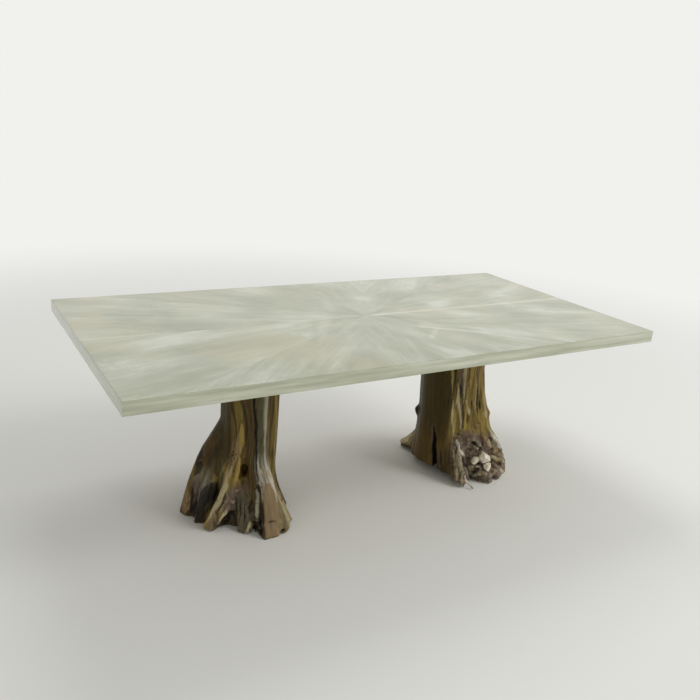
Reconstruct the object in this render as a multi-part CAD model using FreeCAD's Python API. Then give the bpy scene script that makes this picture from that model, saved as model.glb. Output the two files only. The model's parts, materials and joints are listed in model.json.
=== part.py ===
import FreeCAD, Part
import math, os

# A dining table: a hollow-core slab veneered in a sunburst match, on two natural root stumps.
# Lengths are in millimetres. +X runs along the table, +Y to the back, +Z up.
# The origin lies on the floor under the middle of the slab.

# Whole table
TABLE_LENGTH = 2200.0
TABLE_WIDTH = 1070.0
TABLE_HEIGHT = 765.0

# Slab layers, from the show face down
LEAF_COUNT = 12
LEAF_THICKNESS = 2.5
UPPER_PANEL_THICKNESS = 12.0
CORE_THICKNESS = 18.0
LOWER_PANEL_THICKNESS = 12.0
BACKER_THICKNESS = 2.5
TOP_ARRIS = 2.0

# Edge bands round the slab, mitred at the corners
BAND_THICKNESS = 15.0
BAND_ARRIS = 1.5
TONGUE_THICKNESS = 6.0
TONGUE_IN_BAND = 8.0
TONGUE_IN_RAIL = 10.0
TONGUE_STOP = 40.0
SPLINE_THICKNESS = 3.0
SPLINE_REACH = 5.0
SPLINE_STOP = 8.0

# Core frame between the panels
RAIL_WIDTH = 60.0
STRINGER_WIDTH = 50.0
RIB_WIDTH = 50.0
TENON_LENGTH = 12.0
TENON_THICKNESS = 6.0
BEARER_LENGTH = 430.0
BEARER_WIDTH = 430.0
JOINT_CLEARANCE = 0.2

# Steel top plates, one let into the sawn top of each trunk, lying across the table
PLATE_THICKNESS = 8.0
PLATE_WIDTH = 80.0
PLATE_OVERHANG = 54.0
PLATE_CORNER = 12.0
SLOT_END_MARGIN = 24.0
SLOT_WIDTH = 9.0
SLOT_TRAVEL = 10.0
HOUSING_CLEARANCE = 0.8

# Lag screws that hold each plate to its trunk
LAG_OFFSET = 62.0
LAG_DIAMETER = 10.0
LAG_LENGTH = 110.0
LAG_HEAD_DIAMETER = 20.0
LAG_TIP_LENGTH = 14.0

# Bolts that hold the slab on the plates
BOLT_DIAMETER = 8.0
BOLT_LENGTH = 28.0
BOLT_HEAD_FLATS = 13.0
BOLT_HEAD_HEIGHT = 5.5
WASHER_SIDE = 28.0
WASHER_THICKNESS = 2.5
INSERT_DIAMETER = 12.0
INSERT_LENGTH = 20.0
HOLE_CLEARANCE = 0.2
DRILL_RUN_OUT = 1.5

# Left stump: a slim trunk on a spreading foot
LEFT_STUMP_X = -488.0
LEFT_STUMP_Y = 0.0
LEFT_TRUNK_RADIUS = 112.0
LEFT_FLARE_HEIGHT = 350.0
LEFT_ROOT_REACH = 262.0

# Right stump: a stout trunk with a burl and small roots
RIGHT_STUMP_X = 507.0
RIGHT_STUMP_Y = 14.0
RIGHT_TRUNK_RADIUS = 142.0
RIGHT_FLARE_HEIGHT = 520.0
RIGHT_ROOT_REACH = 305.0

# Play round the stones that the right stump's roots have grown over
STONE_CLEARANCE = 0.3

# How finely a stump is faceted, and how far cutting tools run past what they cut
FACET_COUNT = 44
HOLLOW_SIDES = 8
OVERRUN = 20.0

# Worked out from the sizes above
SLAB_THICKNESS = (LEAF_THICKNESS + UPPER_PANEL_THICKNESS + CORE_THICKNESS
                  + LOWER_PANEL_THICKNESS + BACKER_THICKNESS)
UNDERSIDE_Z = TABLE_HEIGHT - SLAB_THICKNESS
BACKER_TOP_Z = UNDERSIDE_Z + BACKER_THICKNESS
CORE_BOTTOM_Z = BACKER_TOP_Z + LOWER_PANEL_THICKNESS
CORE_TOP_Z = CORE_BOTTOM_Z + CORE_THICKNESS
LEAF_BOTTOM_Z = CORE_TOP_Z + UPPER_PANEL_THICKNESS
CORE_MIDDLE_Z = (CORE_BOTTOM_Z + CORE_TOP_Z) / 2
PANEL_LENGTH = TABLE_LENGTH - 2 * BAND_THICKNESS
PANEL_WIDTH = TABLE_WIDTH - 2 * BAND_THICKNESS
RAIL_INNER_X = PANEL_LENGTH / 2 - RAIL_WIDTH
RAIL_INNER_Y = PANEL_WIDTH / 2 - RAIL_WIDTH
STRINGER_Y = (BEARER_WIDTH + STRINGER_WIDTH) / 2
RIB_OFFSET = (BEARER_LENGTH + RIB_WIDTH) / 2
INSERT_HOLE_RADIUS = INSERT_DIAMETER / 2 + HOLE_CLEARANCE

STUMP_SEATS = (("left", LEFT_STUMP_X, LEFT_STUMP_Y, LEFT_TRUNK_RADIUS),
               ("right", RIGHT_STUMP_X, RIGHT_STUMP_Y, RIGHT_TRUNK_RADIUS))

NODES = {}


def keep(name, shape):
    """Stores one named piece; a group of loose solids is kept as a compound."""
    NODES[name] = shape


def vector(x, y, z):
    return FreeCAD.Vector(x, y, z)


def block(low, high):
    """A box from its low corner to its high corner."""
    size = [b - a for a, b in zip(low, high)]
    return Part.makeBox(size[0], size[1], size[2], vector(*low))


def cylinder(radius, x, y, low_z, high_z):
    return Part.makeCylinder(radius, high_z - low_z, vector(x, y, low_z))


def prism(outline, low_z, high_z):
    """A straight prism over an outline of (x, y) corners."""
    corners = [vector(x, y, low_z) for x, y in outline]
    face = Part.Face(Part.makePolygon(corners + corners[:1]))
    return face.extrude(vector(0, 0, high_z - low_z))


def edges_on_plane(shape, axis, value):
    """The straight edges that lie wholly at one value of X, Y or Z."""
    tolerance = TOP_ARRIS / 100
    found = []
    for edge in shape.Edges:
        places = [vertex.Point[axis] for vertex in edge.Vertexes]
        if all(abs(place - value) < tolerance for place in places):
            found.append(edge)
    return found


# Slab: sunburst leaves

def slab_sector(index):
    """A wedge of the plan, one leaf wide, that reaches past the slab's corners."""
    pitch = 2 * math.pi / LEAF_COUNT
    reach = TABLE_LENGTH
    start = index * pitch
    outline = [(0, 0)]
    for turn in (start, start + pitch):
        outline.append((reach * math.cos(turn), reach * math.sin(turn)))
    return prism(outline, UNDERSIDE_Z - OVERRUN, TABLE_HEIGHT + OVERRUN)


def make_leaves():
    half_x, half_y = TABLE_LENGTH / 2, TABLE_WIDTH / 2
    sheet = block((-half_x, -half_y, LEAF_BOTTOM_Z), (half_x, half_y, TABLE_HEIGHT))
    sheet = sheet.makeFillet(TOP_ARRIS, edges_on_plane(sheet, 2, TABLE_HEIGHT))
    for index in range(LEAF_COUNT):
        leaf = sheet.common(slab_sector(index))
        keep("sunburst_leaf_%02d" % (index + 1), leaf)


# Slab: edge bands

def mitre_quarters():
    """Plan shapes that split a rectangular ring at its corner mitres, by the side they hold."""
    half_x, half_y = TABLE_LENGTH / 2, TABLE_WIDTH / 2
    low, high = UNDERSIDE_Z - OVERRUN, TABLE_HEIGHT + OVERRUN
    inner_x = half_x - half_y
    front = [(-half_x, -half_y), (half_x, -half_y), (inner_x, 0), (-inner_x, 0)]
    right = [(half_x, -half_y), (half_x, half_y), (inner_x, 0)]
    back = [(-x, -y) for x, y in front]
    left = [(-x, -y) for x, y in right]
    sides = {"front": front, "right": right, "back": back, "left": left}
    return {side: prism(outline, low, high) for side, outline in sides.items()}


def band_tongue_boxes(gap):
    """The four loose tongues, or with a gap the grooves that they lie in."""
    half_x, half_y = PANEL_LENGTH / 2, PANEL_WIDTH / 2
    low_z = CORE_MIDDLE_Z - TONGUE_THICKNESS / 2 - gap
    high_z = CORE_MIDDLE_Z + TONGUE_THICKNESS / 2 + gap
    run_x = half_x - TONGUE_STOP + gap
    run_y = half_y - TONGUE_STOP + gap
    out, back_in = TONGUE_IN_BAND + gap, TONGUE_IN_RAIL + gap
    boxes = []
    for side in (-1, 1):
        faces = sorted((side * (half_y - back_in), side * (half_y + out)))
        boxes.append(block((-run_x, faces[0], low_z), (run_x, faces[1], high_z)))
        faces = sorted((side * (half_x - back_in), side * (half_x + out)))
        boxes.append(block((faces[0], -run_y, low_z), (faces[1], run_y, high_z)))
    return boxes


def mitre_spline_boxes(gap):
    """One upright spline across each corner mitre, or with a gap its kerf."""
    middle_x = (TABLE_LENGTH - BAND_THICKNESS) / 2
    middle_y = (TABLE_WIDTH - BAND_THICKNESS) / 2
    reach = SPLINE_REACH + gap
    half_thickness = SPLINE_THICKNESS / 2 + gap
    low_z, high_z = UNDERSIDE_Z + SPLINE_STOP - gap, LEAF_BOTTOM_Z
    splines = []
    for side_x in (-1, 1):
        for side_y in (-1, 1):
            spline = block((-reach, -half_thickness, low_z), (reach, half_thickness, high_z))
            spline.rotate(vector(0, 0, 0), vector(0, 0, 1), -45 * side_x * side_y)
            spline.translate(vector(side_x * middle_x, side_y * middle_y, 0))
            splines.append(spline)
    return splines


def make_bands():
    half_x, half_y = TABLE_LENGTH / 2, TABLE_WIDTH / 2
    outer = block((-half_x, -half_y, UNDERSIDE_Z), (half_x, half_y, LEAF_BOTTOM_Z))
    outer = outer.makeFillet(BAND_ARRIS, edges_on_plane(outer, 2, UNDERSIDE_Z))
    hole = block((-PANEL_LENGTH / 2, -PANEL_WIDTH / 2, UNDERSIDE_Z - OVERRUN),
                 (PANEL_LENGTH / 2, PANEL_WIDTH / 2, LEAF_BOTTOM_Z + OVERRUN))
    ring = outer.cut(hole)
    ring = ring.cut(band_tongue_boxes(JOINT_CLEARANCE) + mitre_spline_boxes(JOINT_CLEARANCE))
    for side, quarter in mitre_quarters().items():
        keep(side + "_edge_band", ring.common(quarter))
    keep("band_tongues", Part.makeCompound(band_tongue_boxes(0)))
    keep("mitre_splines", Part.makeCompound(mitre_spline_boxes(0)))


# Slab: core frame

def rib_places():
    """The X places of the five ribs: one each side of each bearer, and one between the stumps."""
    inner = (LEFT_STUMP_X + RIB_OFFSET, RIGHT_STUMP_X - RIB_OFFSET)
    return [LEFT_STUMP_X - RIB_OFFSET, inner[0], (inner[0] + inner[1]) / 2, inner[1],
            RIGHT_STUMP_X + RIB_OFFSET]


def rail(side_x, side_y):
    """One rail of the core frame with its corner halvings; a side of 0 is the rail's long way."""
    half_x, half_y = PANEL_LENGTH / 2, PANEL_WIDTH / 2
    if side_y:
        faces = sorted((side_y * RAIL_INNER_Y, side_y * half_y))
        bar = block((-half_x, faces[0], CORE_BOTTOM_Z), (half_x, faces[1], CORE_TOP_Z))
        notches = [block((-half_x, faces[0], CORE_MIDDLE_Z), (-RAIL_INNER_X, faces[1], CORE_TOP_Z)),
                   block((RAIL_INNER_X, faces[0], CORE_MIDDLE_Z), (half_x, faces[1], CORE_TOP_Z))]
    else:
        faces = sorted((side_x * RAIL_INNER_X, side_x * half_x))
        bar = block((faces[0], -half_y, CORE_BOTTOM_Z), (faces[1], half_y, CORE_TOP_Z))
        notches = [block((faces[0], -half_y, CORE_BOTTOM_Z), (faces[1], -RAIL_INNER_Y, CORE_MIDDLE_Z)),
                   block((faces[0], RAIL_INNER_Y, CORE_BOTTOM_Z), (faces[1], half_y, CORE_MIDDLE_Z))]
    return bar.cut(notches)


def rib_bar(x, tenon, gap):
    """A rib across the slab with a stub tenon at each end, or with a gap the tenons' mortises."""
    half_rib, half_tenon = RIB_WIDTH / 2, TENON_THICKNESS / 2
    end_y = RAIL_INNER_Y + TENON_LENGTH + gap
    tongue = block((x - half_rib - gap, -end_y, CORE_MIDDLE_Z - half_tenon - gap),
                   (x + half_rib + gap, end_y, CORE_MIDDLE_Z + half_tenon + gap))
    if tenon:
        return tongue
    body = block((x - half_rib, -RAIL_INNER_Y, CORE_BOTTOM_Z), (x + half_rib, RAIL_INNER_Y, CORE_TOP_Z))
    return body.fuse(tongue).removeSplitter()


def stringer_bar(y, tenon, gap):
    """A stringer along the slab with a stub tenon at each end, or with a gap the mortises."""
    half_bar, half_tenon = STRINGER_WIDTH / 2, TENON_THICKNESS / 2
    end_x = RAIL_INNER_X + TENON_LENGTH + gap
    tongue = block((-end_x, y - half_bar - gap, CORE_MIDDLE_Z - half_tenon - gap),
                   (end_x, y + half_bar + gap, CORE_MIDDLE_Z + half_tenon + gap))
    if tenon:
        return tongue
    body = block((-RAIL_INNER_X, y - half_bar, CORE_BOTTOM_Z), (RAIL_INNER_X, y + half_bar, CORE_TOP_Z))
    return body.fuse(tongue).removeSplitter()


def crossing_notches(lower):
    """The halvings where ribs and stringers cross, in their lower or their upper half."""
    low_z, high_z = (CORE_BOTTOM_Z, CORE_MIDDLE_Z) if lower else (CORE_MIDDLE_Z, CORE_TOP_Z)
    notches = []
    for x in rib_places():
        for y in (-STRINGER_Y, STRINGER_Y):
            notches.append(block((x - RIB_WIDTH / 2, y - STRINGER_WIDTH / 2, low_z),
                                 (x + RIB_WIDTH / 2, y + STRINGER_WIDTH / 2, high_z)))
    return notches


def make_core_frame():
    mortises = [rib_bar(x, True, JOINT_CLEARANCE) for x in rib_places()]
    mortises += [stringer_bar(y, True, JOINT_CLEARANCE) for y in (-STRINGER_Y, STRINGER_Y)]
    grooves = band_tongue_boxes(JOINT_CLEARANCE)
    for name, side_x, side_y in (("front", 0, -1), ("back", 0, 1), ("left", -1, 0), ("right", 1, 0)):
        keep(name + "_core_rail", rail(side_x, side_y).cut(mortises + grooves))
    for name, y in (("front", -STRINGER_Y), ("back", STRINGER_Y)):
        bar = stringer_bar(y, False, 0).cut(crossing_notches(True))
        keep(name + "_core_stringer", bar)
    for index, x in enumerate(rib_places()):
        keep("core_rib_%d" % (index + 1), rib_bar(x, False, 0).cut(crossing_notches(False)))


# Fastenings of one stump

def bolt_places(x, y, trunk_radius):
    """The two bolts, one near each end of the top plate."""
    reach = trunk_radius + PLATE_OVERHANG - SLOT_END_MARGIN
    return [(x, y - reach), (x, y + reach)]


def lag_places(x, y):
    return [(x, y - LAG_OFFSET), (x, y + LAG_OFFSET)]


def lag_screw(x, y):
    """A countersunk screw: a head flush with the plate, a straight shank and a point."""
    head, shank = LAG_HEAD_DIAMETER / 2, LAG_DIAMETER / 2
    neck_z = UNDERSIDE_Z - (head - shank)
    tip_z = UNDERSIDE_Z - LAG_LENGTH
    screw = Part.makeCone(shank, head, head - shank, vector(x, y, neck_z))
    screw = screw.fuse(cylinder(shank, x, y, tip_z + LAG_TIP_LENGTH, neck_z))
    return screw.fuse(Part.makeCone(0, shank, LAG_TIP_LENGTH, vector(x, y, tip_z)))


def lag_hole(x, y):
    """The countersunk hole in the plate with the pilot hole below it."""
    shank = LAG_DIAMETER / 2 + HOLE_CLEARANCE
    head = LAG_HEAD_DIAMETER / 2 + HOLE_CLEARANCE
    cone = Part.makeCone(shank, head, head - shank, vector(x, y, UNDERSIDE_Z - (head - shank)))
    shaft = cylinder(shank, x, y, UNDERSIDE_Z - LAG_LENGTH - DRILL_RUN_OUT, UNDERSIDE_Z)
    return cone.fuse(shaft)


def bolt_slot(x, y):
    """A punched slot along the plate, so that the slab can be lined up and can move with the seasons."""
    half_width, half_length = SLOT_WIDTH / 2, (SLOT_WIDTH + SLOT_TRAVEL) / 2
    return block((x - half_width, y - half_length, UNDERSIDE_Z - PLATE_THICKNESS),
                 (x + half_width, y + half_length, UNDERSIDE_Z))


def top_plate(x, y, trunk_radius):
    """A flat bar with cut corners, slotted for the bolts and countersunk for the lag screws."""
    half_width, reach = PLATE_WIDTH / 2, trunk_radius + PLATE_OVERHANG
    quarter = [(half_width, reach - PLATE_CORNER), (half_width - PLATE_CORNER, reach)]
    outline = [(x + px, y + py) for px, py in quarter]
    outline += [(x - px, y + py) for px, py in reversed(quarter)]
    outline += [(x - px, y - py) for px, py in quarter]
    outline += [(x + px, y - py) for px, py in reversed(quarter)]
    plate = prism(outline, UNDERSIDE_Z - PLATE_THICKNESS, UNDERSIDE_Z)
    holes = [lag_hole(*place) for place in lag_places(x, y)]
    holes += [bolt_slot(*place) for place in bolt_places(x, y, trunk_radius)]
    return plate.cut(holes)


def top_bolt(x, y):
    """A hexagon bolt from below: head under the washer, shank up into the insert."""
    seat_z = UNDERSIDE_Z - PLATE_THICKNESS - WASHER_THICKNESS
    corner_radius = BOLT_HEAD_FLATS / math.sqrt(3)
    outline = []
    for index in range(6):
        turn = index * math.pi / 3
        outline.append((x + corner_radius * math.cos(turn), y + corner_radius * math.sin(turn)))
    head = prism(outline, seat_z - BOLT_HEAD_HEIGHT, seat_z)
    return head.fuse(cylinder(BOLT_DIAMETER / 2, x, y, seat_z, seat_z + BOLT_LENGTH))


def washer(x, y):
    """A square plate washer under the slotted plate."""
    half = WASHER_SIDE / 2
    high_z = UNDERSIDE_Z - PLATE_THICKNESS
    low_z = high_z - WASHER_THICKNESS
    plate = block((x - half, y - half, low_z), (x + half, y + half, high_z))
    return plate.cut(cylinder(BOLT_DIAMETER / 2 + HOLE_CLEARANCE, x, y, low_z, high_z))


def threaded_insert(x, y):
    low_z, high_z = UNDERSIDE_Z, UNDERSIDE_Z + INSERT_LENGTH
    sleeve = cylinder(INSERT_DIAMETER / 2, x, y, low_z, high_z)
    return sleeve.cut(cylinder(BOLT_DIAMETER / 2 + HOLE_CLEARANCE, x, y, low_z, high_z))


def make_fastenings():
    """A top plate for each stump, and its screws and bolts, alike on both stumps."""
    bolts, lags = [], []
    for side, x, y, trunk_radius in STUMP_SEATS:
        keep(side + "_top_plate", top_plate(x, y, trunk_radius))
        bolts += bolt_places(x, y, trunk_radius)
        lags += lag_places(x, y)
    keep("lag_screws", Part.makeCompound([lag_screw(*place) for place in lags]))
    keep("top_bolts", Part.makeCompound([top_bolt(*place) for place in bolts]))
    keep("plate_washers", Part.makeCompound([washer(*place) for place in bolts]))
    keep("threaded_inserts", Part.makeCompound([threaded_insert(*place) for place in bolts]))


def insert_holes():
    """The blind holes for the threaded inserts, up through the backer into the bearer blocks."""
    places = []
    for _, x, y, trunk_radius in STUMP_SEATS:
        places += bolt_places(x, y, trunk_radius)
    top = UNDERSIDE_Z + INSERT_LENGTH + DRILL_RUN_OUT
    return [cylinder(INSERT_HOLE_RADIUS, px, py, UNDERSIDE_Z, top) for px, py in places]


def make_panels_and_bearers():
    """The skins of the slab, and solid bearers that fill core and lower panel over each stump."""
    holes = insert_holes()
    half_x, half_y = PANEL_LENGTH / 2, PANEL_WIDTH / 2
    bearers = []
    for side, x, _, _ in STUMP_SEATS:
        bearer = block((x - BEARER_LENGTH / 2, -BEARER_WIDTH / 2, BACKER_TOP_Z),
                       (x + BEARER_LENGTH / 2, BEARER_WIDTH / 2, CORE_TOP_Z))
        bearers.append(bearer)
        keep(side + "_bearer_block", bearer.cut(holes))
    backer = block((-half_x, -half_y, UNDERSIDE_Z), (half_x, half_y, BACKER_TOP_Z))
    keep("underside_backer", backer.cut(holes))
    lower = block((-half_x, -half_y, BACKER_TOP_Z), (half_x, half_y, CORE_BOTTOM_Z))
    keep("lower_core_panel", lower.cut(bearers))
    keep("upper_core_panel", block((-half_x, -half_y, CORE_TOP_Z), (half_x, half_y, LEAF_BOTTOM_Z)))


# Root stumps

# Heights of the rings that shape a stump, as shares of its height
RING_SHARES = (0, 0.035, 0.08, 0.125, 0.17, 0.22, 0.27, 0.325, 0.39, 0.46, 0.55, 0.70, 1.0)

# Heart of each stump by height: (height, radius, drift in X, drift in Y), as shares of the height
# of the stump and of the trunk's radius
LEFT_HEART_SHARES = ((0, 1.05, -0.10, -0.05), (0.15, 1.00, -0.05, 0), (0.4, 0.97, 0, 0),
                     (0.6, 0.95, 0.01, 0.01), (1.0, 0.99, 0, 0))
RIGHT_HEART_SHARES = ((0, 0.98, 0.02, -0.02), (0.15, 0.95, 0.04, -0.03), (0.4, 0.93, 0.05, -0.04),
                      (0.6, 0.96, 0.01, -0.01), (1.0, 0.98, 0, 0))

# Columns of wood that run down the trunk and out into the roots. Bearings are shares of a full
# turn, at the floor and up the trunk. Reach and half width at the floor are shares of the longest
# root, those up the trunk are shares of its radius, and the rise is a share of the flare height.
# The last share is the sweep: under one for a shouldered buttress, over one for a hollow curve.
LEFT_COLUMN_SHARES = (
    (0.462, 0.455, 1.00, 0.17, 1.00, 0.50, 1.00, 0.48),
    (0.520, 0.555, 0.88, 0.13, 1.00, 0.42, 0.78, 0.50),
    (0.579, 0.648, 1.02, 0.135, 1.01, 0.40, 0.96, 1.30),
    (0.682, 0.692, 0.72, 0.18, 1.00, 0.38, 0.52, 0.90),
    (0.760, 0.764, 1.40, 0.155, 1.05, 0.47, 0.70, 0.80),
    (0.855, 0.880, 0.86, 0.17, 1.04, 0.46, 0.40, 1.10),
    (0.970, 0.960, 0.70, 0.17, 1.02, 0.45, 0.55, 1.60),
    (0.090, 0.090, 0.84, 0.16, 1.02, 0.45, 0.75, 1.30),
    (0.220, 0.230, 0.78, 0.15, 1.00, 0.45, 0.60, 1.20),
    (0.345, 0.350, 0.88, 0.17, 1.01, 0.45, 0.85, 0.90))
RIGHT_COLUMN_SHARES = (
    (0.295, 0.300, 0.90, 0.12, 1.00, 0.45, 0.30, 1.20),
    (0.390, 0.390, 0.51, 0.20, 1.00, 0.55, 0.40, 1.40),
    (0.480, 0.480, 0.47, 0.24, 1.00, 0.60, 0.35, 1.20),
    (0.570, 0.570, 0.47, 0.24, 1.00, 0.55, 0.35, 1.20),
    (0.655, 0.636, 0.62, 0.12, 1.04, 0.40, 0.42, 0.90),
    (0.714, 0.705, 0.92, 0.16, 1.02, 0.26, 0.38, 1.10),
    (0.805, 0.770, 0.92, 0.17, 1.01, 0.26, 0.40, 0.50),
    (0.885, 0.835, 1.04, 0.18, 1.02, 0.30, 0.46, 0.42),
    (0.885, 0.850, 0.90, 0.16, 1.00, 0.34, 0.95, 1.30),
    (0.960, 0.930, 0.86, 0.14, 0.99, 0.34, 0.85, 1.30),
    (0.045, 0.010, 0.72, 0.15, 1.00, 0.45, 0.60, 1.30),
    (0.130, 0.110, 0.74, 0.15, 1.01, 0.45, 0.55, 1.30),
    (0.210, 0.205, 0.80, 0.13, 1.00, 0.45, 0.60, 1.20))

# Flat faces left by the saw at the ends of roots: (bearing, lean) as shares of a turn, (distance,
# offset to the side, width) as shares of the longest root
LEFT_SAW_SHARES = ((0.744, 0.055, 0.955, 0.08, 0.50), (0.556, 0.012, 0.870, -0.37, 0.50),
                   (0.600, 0.020, 0.860, -0.10, 0.40), (0.865, 0.030, 0.800, 0.00, 0.34),
                   (0.225, 0.040, 0.740, 0.00, 0.34))
RIGHT_SAW_SHARES = ((0.890, 0.020, 0.985, 0.00, 0.30), (0.300, 0.020, 0.850, 0.00, 0.26),
                    (0.130, 0.035, 0.690, 0.00, 0.34))

# Clefts between columns: (bearing at the floor, bearing at the top) as shares of a turn, half
# widths at floor and top and the depths where they end, as shares of the trunk's radius, and the
# height as a share of the trunk's height
LEFT_CLEFT_SHARES = (
    (0.706, 0.724, 0.17, 0.07, 0.95, 0.80, 0.98),
    (0.546, 0.566, 0.11, 0.02, 1.10, 0.95, 0.32),
    (0.912, 0.920, 0.12, 0.02, 1.00, 0.90, 0.34),
    (0.160, 0.160, 0.14, 0.02, 0.90, 0.86, 0.60))
RIGHT_CLEFT_SHARES = (
    (0.602, 0.602, 0.17, 0.03, 0.66, 0.90, 0.27),
    (0.845, 0.800, 0.10, 0.02, 1.20, 0.93, 0.50),
    (0.255, 0.255, 0.12, 0.02, 0.84, 0.90, 0.52),
    (0.005, 0.970, 0.12, 0.02, 1.00, 0.92, 0.46))

# Hollows with eight sides: bearing as a share of a turn, middle height as a share of the trunk's
# height, and (half width, half height, depth where it starts, depth where it ends) as shares of
# the trunk's radius. Those at the floor are arches between roots, the others knots and rot.
LEFT_HOLLOW_SHARES = ((0.634, 0.005, 0.46, 0.78, 2.40, 1.35), (0.600, 0.403, 0.15, 0.15, 1.40, 0.78),
                      (0.668, 0.310, 0.15, 0.40, 1.60, 0.72), (0.030, 0.005, 0.34, 0.60, 2.30, 0.95),
                      (0.283, 0.005, 0.36, 0.66, 2.30, 0.90))
RIGHT_HOLLOW_SHARES = ((0.765, 0.006, 0.17, 0.30, 2.30, 1.10), (0.790, 0.205, 0.15, 0.13, 2.00, 1.02),
                       (0.925, 0.006, 0.20, 0.34, 2.40, 1.25), (0.345, 0.006, 0.30, 0.42, 2.30, 0.75),
                       (0.170, 0.006, 0.26, 0.44, 2.30, 0.95))

# How much of a hollow's mouth is left at its end
HOLLOW_END_SHARE = 0.45

# Stones in the burl of the right stump: bearing as a share of a turn, height as a share of the
# trunk's height, and (distance, half width, half height, half depth) as shares of the trunk's radius
STONE_SHARES = ((0.768, 0.147, 1.46, 0.160, 0.150, 0.15), (0.788, 0.172, 1.66, 0.200, 0.190, 0.19),
                (0.797, 0.108, 1.74, 0.160, 0.150, 0.15))

# How far each corner of a stone stands out, and its girth from its inner to its outer face
STONE_CORNER_SHARES = (1.0, 0.84, 0.94, 1.0, 0.80, 0.92)
STONE_GIRTH_SHARES = ((-1, 0.55), (-0.2, 1.0), (0.5, 0.92), (1, 0.55))

# The foot of the right stump is cut away under its left side: bearing, and the rise of the cut, as
# shares of a turn
UNDERCUT_BEARING_SHARE = 0.53
UNDERCUT_SLOPE_SHARE = 0.045

# Where a column's oval lies between the axis and its tip
OVAL_CENTRE_SHARE = 0.44
OVAL_LENGTH_SHARE = 1 - OVAL_CENTRE_SHARE


def between(rows, place):
    """Values of a table of rows at a place between its rows, on straight lines."""
    for low, high in zip(rows, rows[1:]):
        if place <= high[0]:
            share = (place - low[0]) / (high[0] - low[0])
            return [a + (b - a) * share for a, b in zip(low[1:], high[1:])]
    return list(rows[-1][1:])


def oval_reach(turn, tip, half_width):
    """How far a ray from the axis, turned from a column's bearing, reaches in the column's oval."""
    centre, length = tip * OVAL_CENTRE_SHARE, tip * OVAL_LENGTH_SHARE
    along, across = math.cos(turn), math.sin(turn)
    square = (along / length) ** 2 + (across / half_width) ** 2
    slope = centre * along / length ** 2
    rest = (centre / length) ** 2 - 1
    root = slope ** 2 - square * rest
    return (slope + math.sqrt(root)) / square if root > 0 else 0


def stump_ring(height_share, x, y, trunk_radius, root_reach, flare_height, heart, columns):
    """The corners of one ring: the outer line of the heart and of every column at that height."""
    z = UNDERSIDE_Z * height_share
    heart_share, drift_x, drift_y = between(heart, height_share)
    corners = []
    for index in range(FACET_COUNT):
        turn = index / FACET_COUNT
        reach = trunk_radius * heart_share
        for low_turn, high_turn, low_tip, low_half, high_tip, high_half, rise, sweep in columns:
            spread = max(0, 1 - z / (flare_height * rise)) ** sweep
            bearing = high_turn + (low_turn - high_turn) * spread
            tip = trunk_radius * high_tip * (1 - spread) + root_reach * low_tip * spread
            half_width = trunk_radius * high_half * (1 - spread) + root_reach * low_half * spread
            reach = max(reach, oval_reach(2 * math.pi * (turn - bearing), tip, half_width))
        corners.append(vector(x + drift_x * trunk_radius + reach * math.cos(2 * math.pi * turn),
                              y + drift_y * trunk_radius + reach * math.sin(2 * math.pi * turn), z))
    return corners


def facet(*corners):
    return Part.Face(Part.makePolygon(list(corners) + [corners[0]]))


def skinned(rings):
    """A solid through rings of corners, in flat three-cornered facets with a flat face at each end."""
    facets = [facet(*rings[0]), facet(*rings[-1])]
    for low, high in zip(rings, rings[1:]):
        for index in range(len(low)):
            after = (index + 1) % len(low)
            a, b, c, d = low[index], low[after], high[after], high[index]
            if a.distanceToPoint(c) < b.distanceToPoint(d):
                facets += [facet(a, b, c), facet(a, c, d)]
            else:
                facets += [facet(a, b, d), facet(b, c, d)]
    shell = Part.makeShell(facets)
    shell.sewShape()
    return Part.makeSolid(shell)


def plain_tool(rings):
    """A solid through rings of corners with its coplanar facets joined."""
    solid = skinned(rings).removeSplitter()
    if solid.Volume < 0:
        solid.reverse()
    return solid


def stump_body(x, y, trunk_radius, root_reach, flare_height, heart, columns):
    rings = [stump_ring(share, x, y, trunk_radius, root_reach, flare_height, heart, columns)
             for share in RING_SHARES]
    return skinned(rings)


def plate_housing(x, y, trunk_radius):
    """The channel across the trunk's sawn top that the plate lies in, run out past both sides."""
    half_width = PLATE_WIDTH / 2 + HOUSING_CLEARANCE
    reach = trunk_radius + PLATE_OVERHANG + OVERRUN
    return block((x - half_width, y - reach, UNDERSIDE_Z - PLATE_THICKNESS),
                 (x + half_width, y + reach, UNDERSIDE_Z + OVERRUN))


def turned(corner, x, y, bearing):
    """A corner laid out along +X, turned to its bearing about the stump's axis."""
    turn = 2 * math.pi * bearing
    return vector(x + corner.x * math.cos(turn) - corner.y * math.sin(turn),
                  y + corner.x * math.sin(turn) + corner.y * math.cos(turn), corner.z)


def placed(shape, x, y, bearing):
    """Turns a tool made along +X to its bearing and moves it to the stump's axis."""
    shape.rotate(vector(0, 0, 0), vector(0, 0, 1), 360 * bearing)
    shape.translate(vector(x, y, 0))
    return shape


def saw_tool(x, y, root_reach, bearing, lean, distance, aside, width):
    """All that lies past a leaning plane across a root."""
    near, half = root_reach * distance, root_reach * width / 2
    tool = block((near, root_reach * aside - half, -root_reach),
                 (near + root_reach, root_reach * aside + half, root_reach))
    tool.rotate(vector(near, 0, 0), vector(0, 1, 0), -360 * lean)
    return placed(tool, x, y, bearing)


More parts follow.
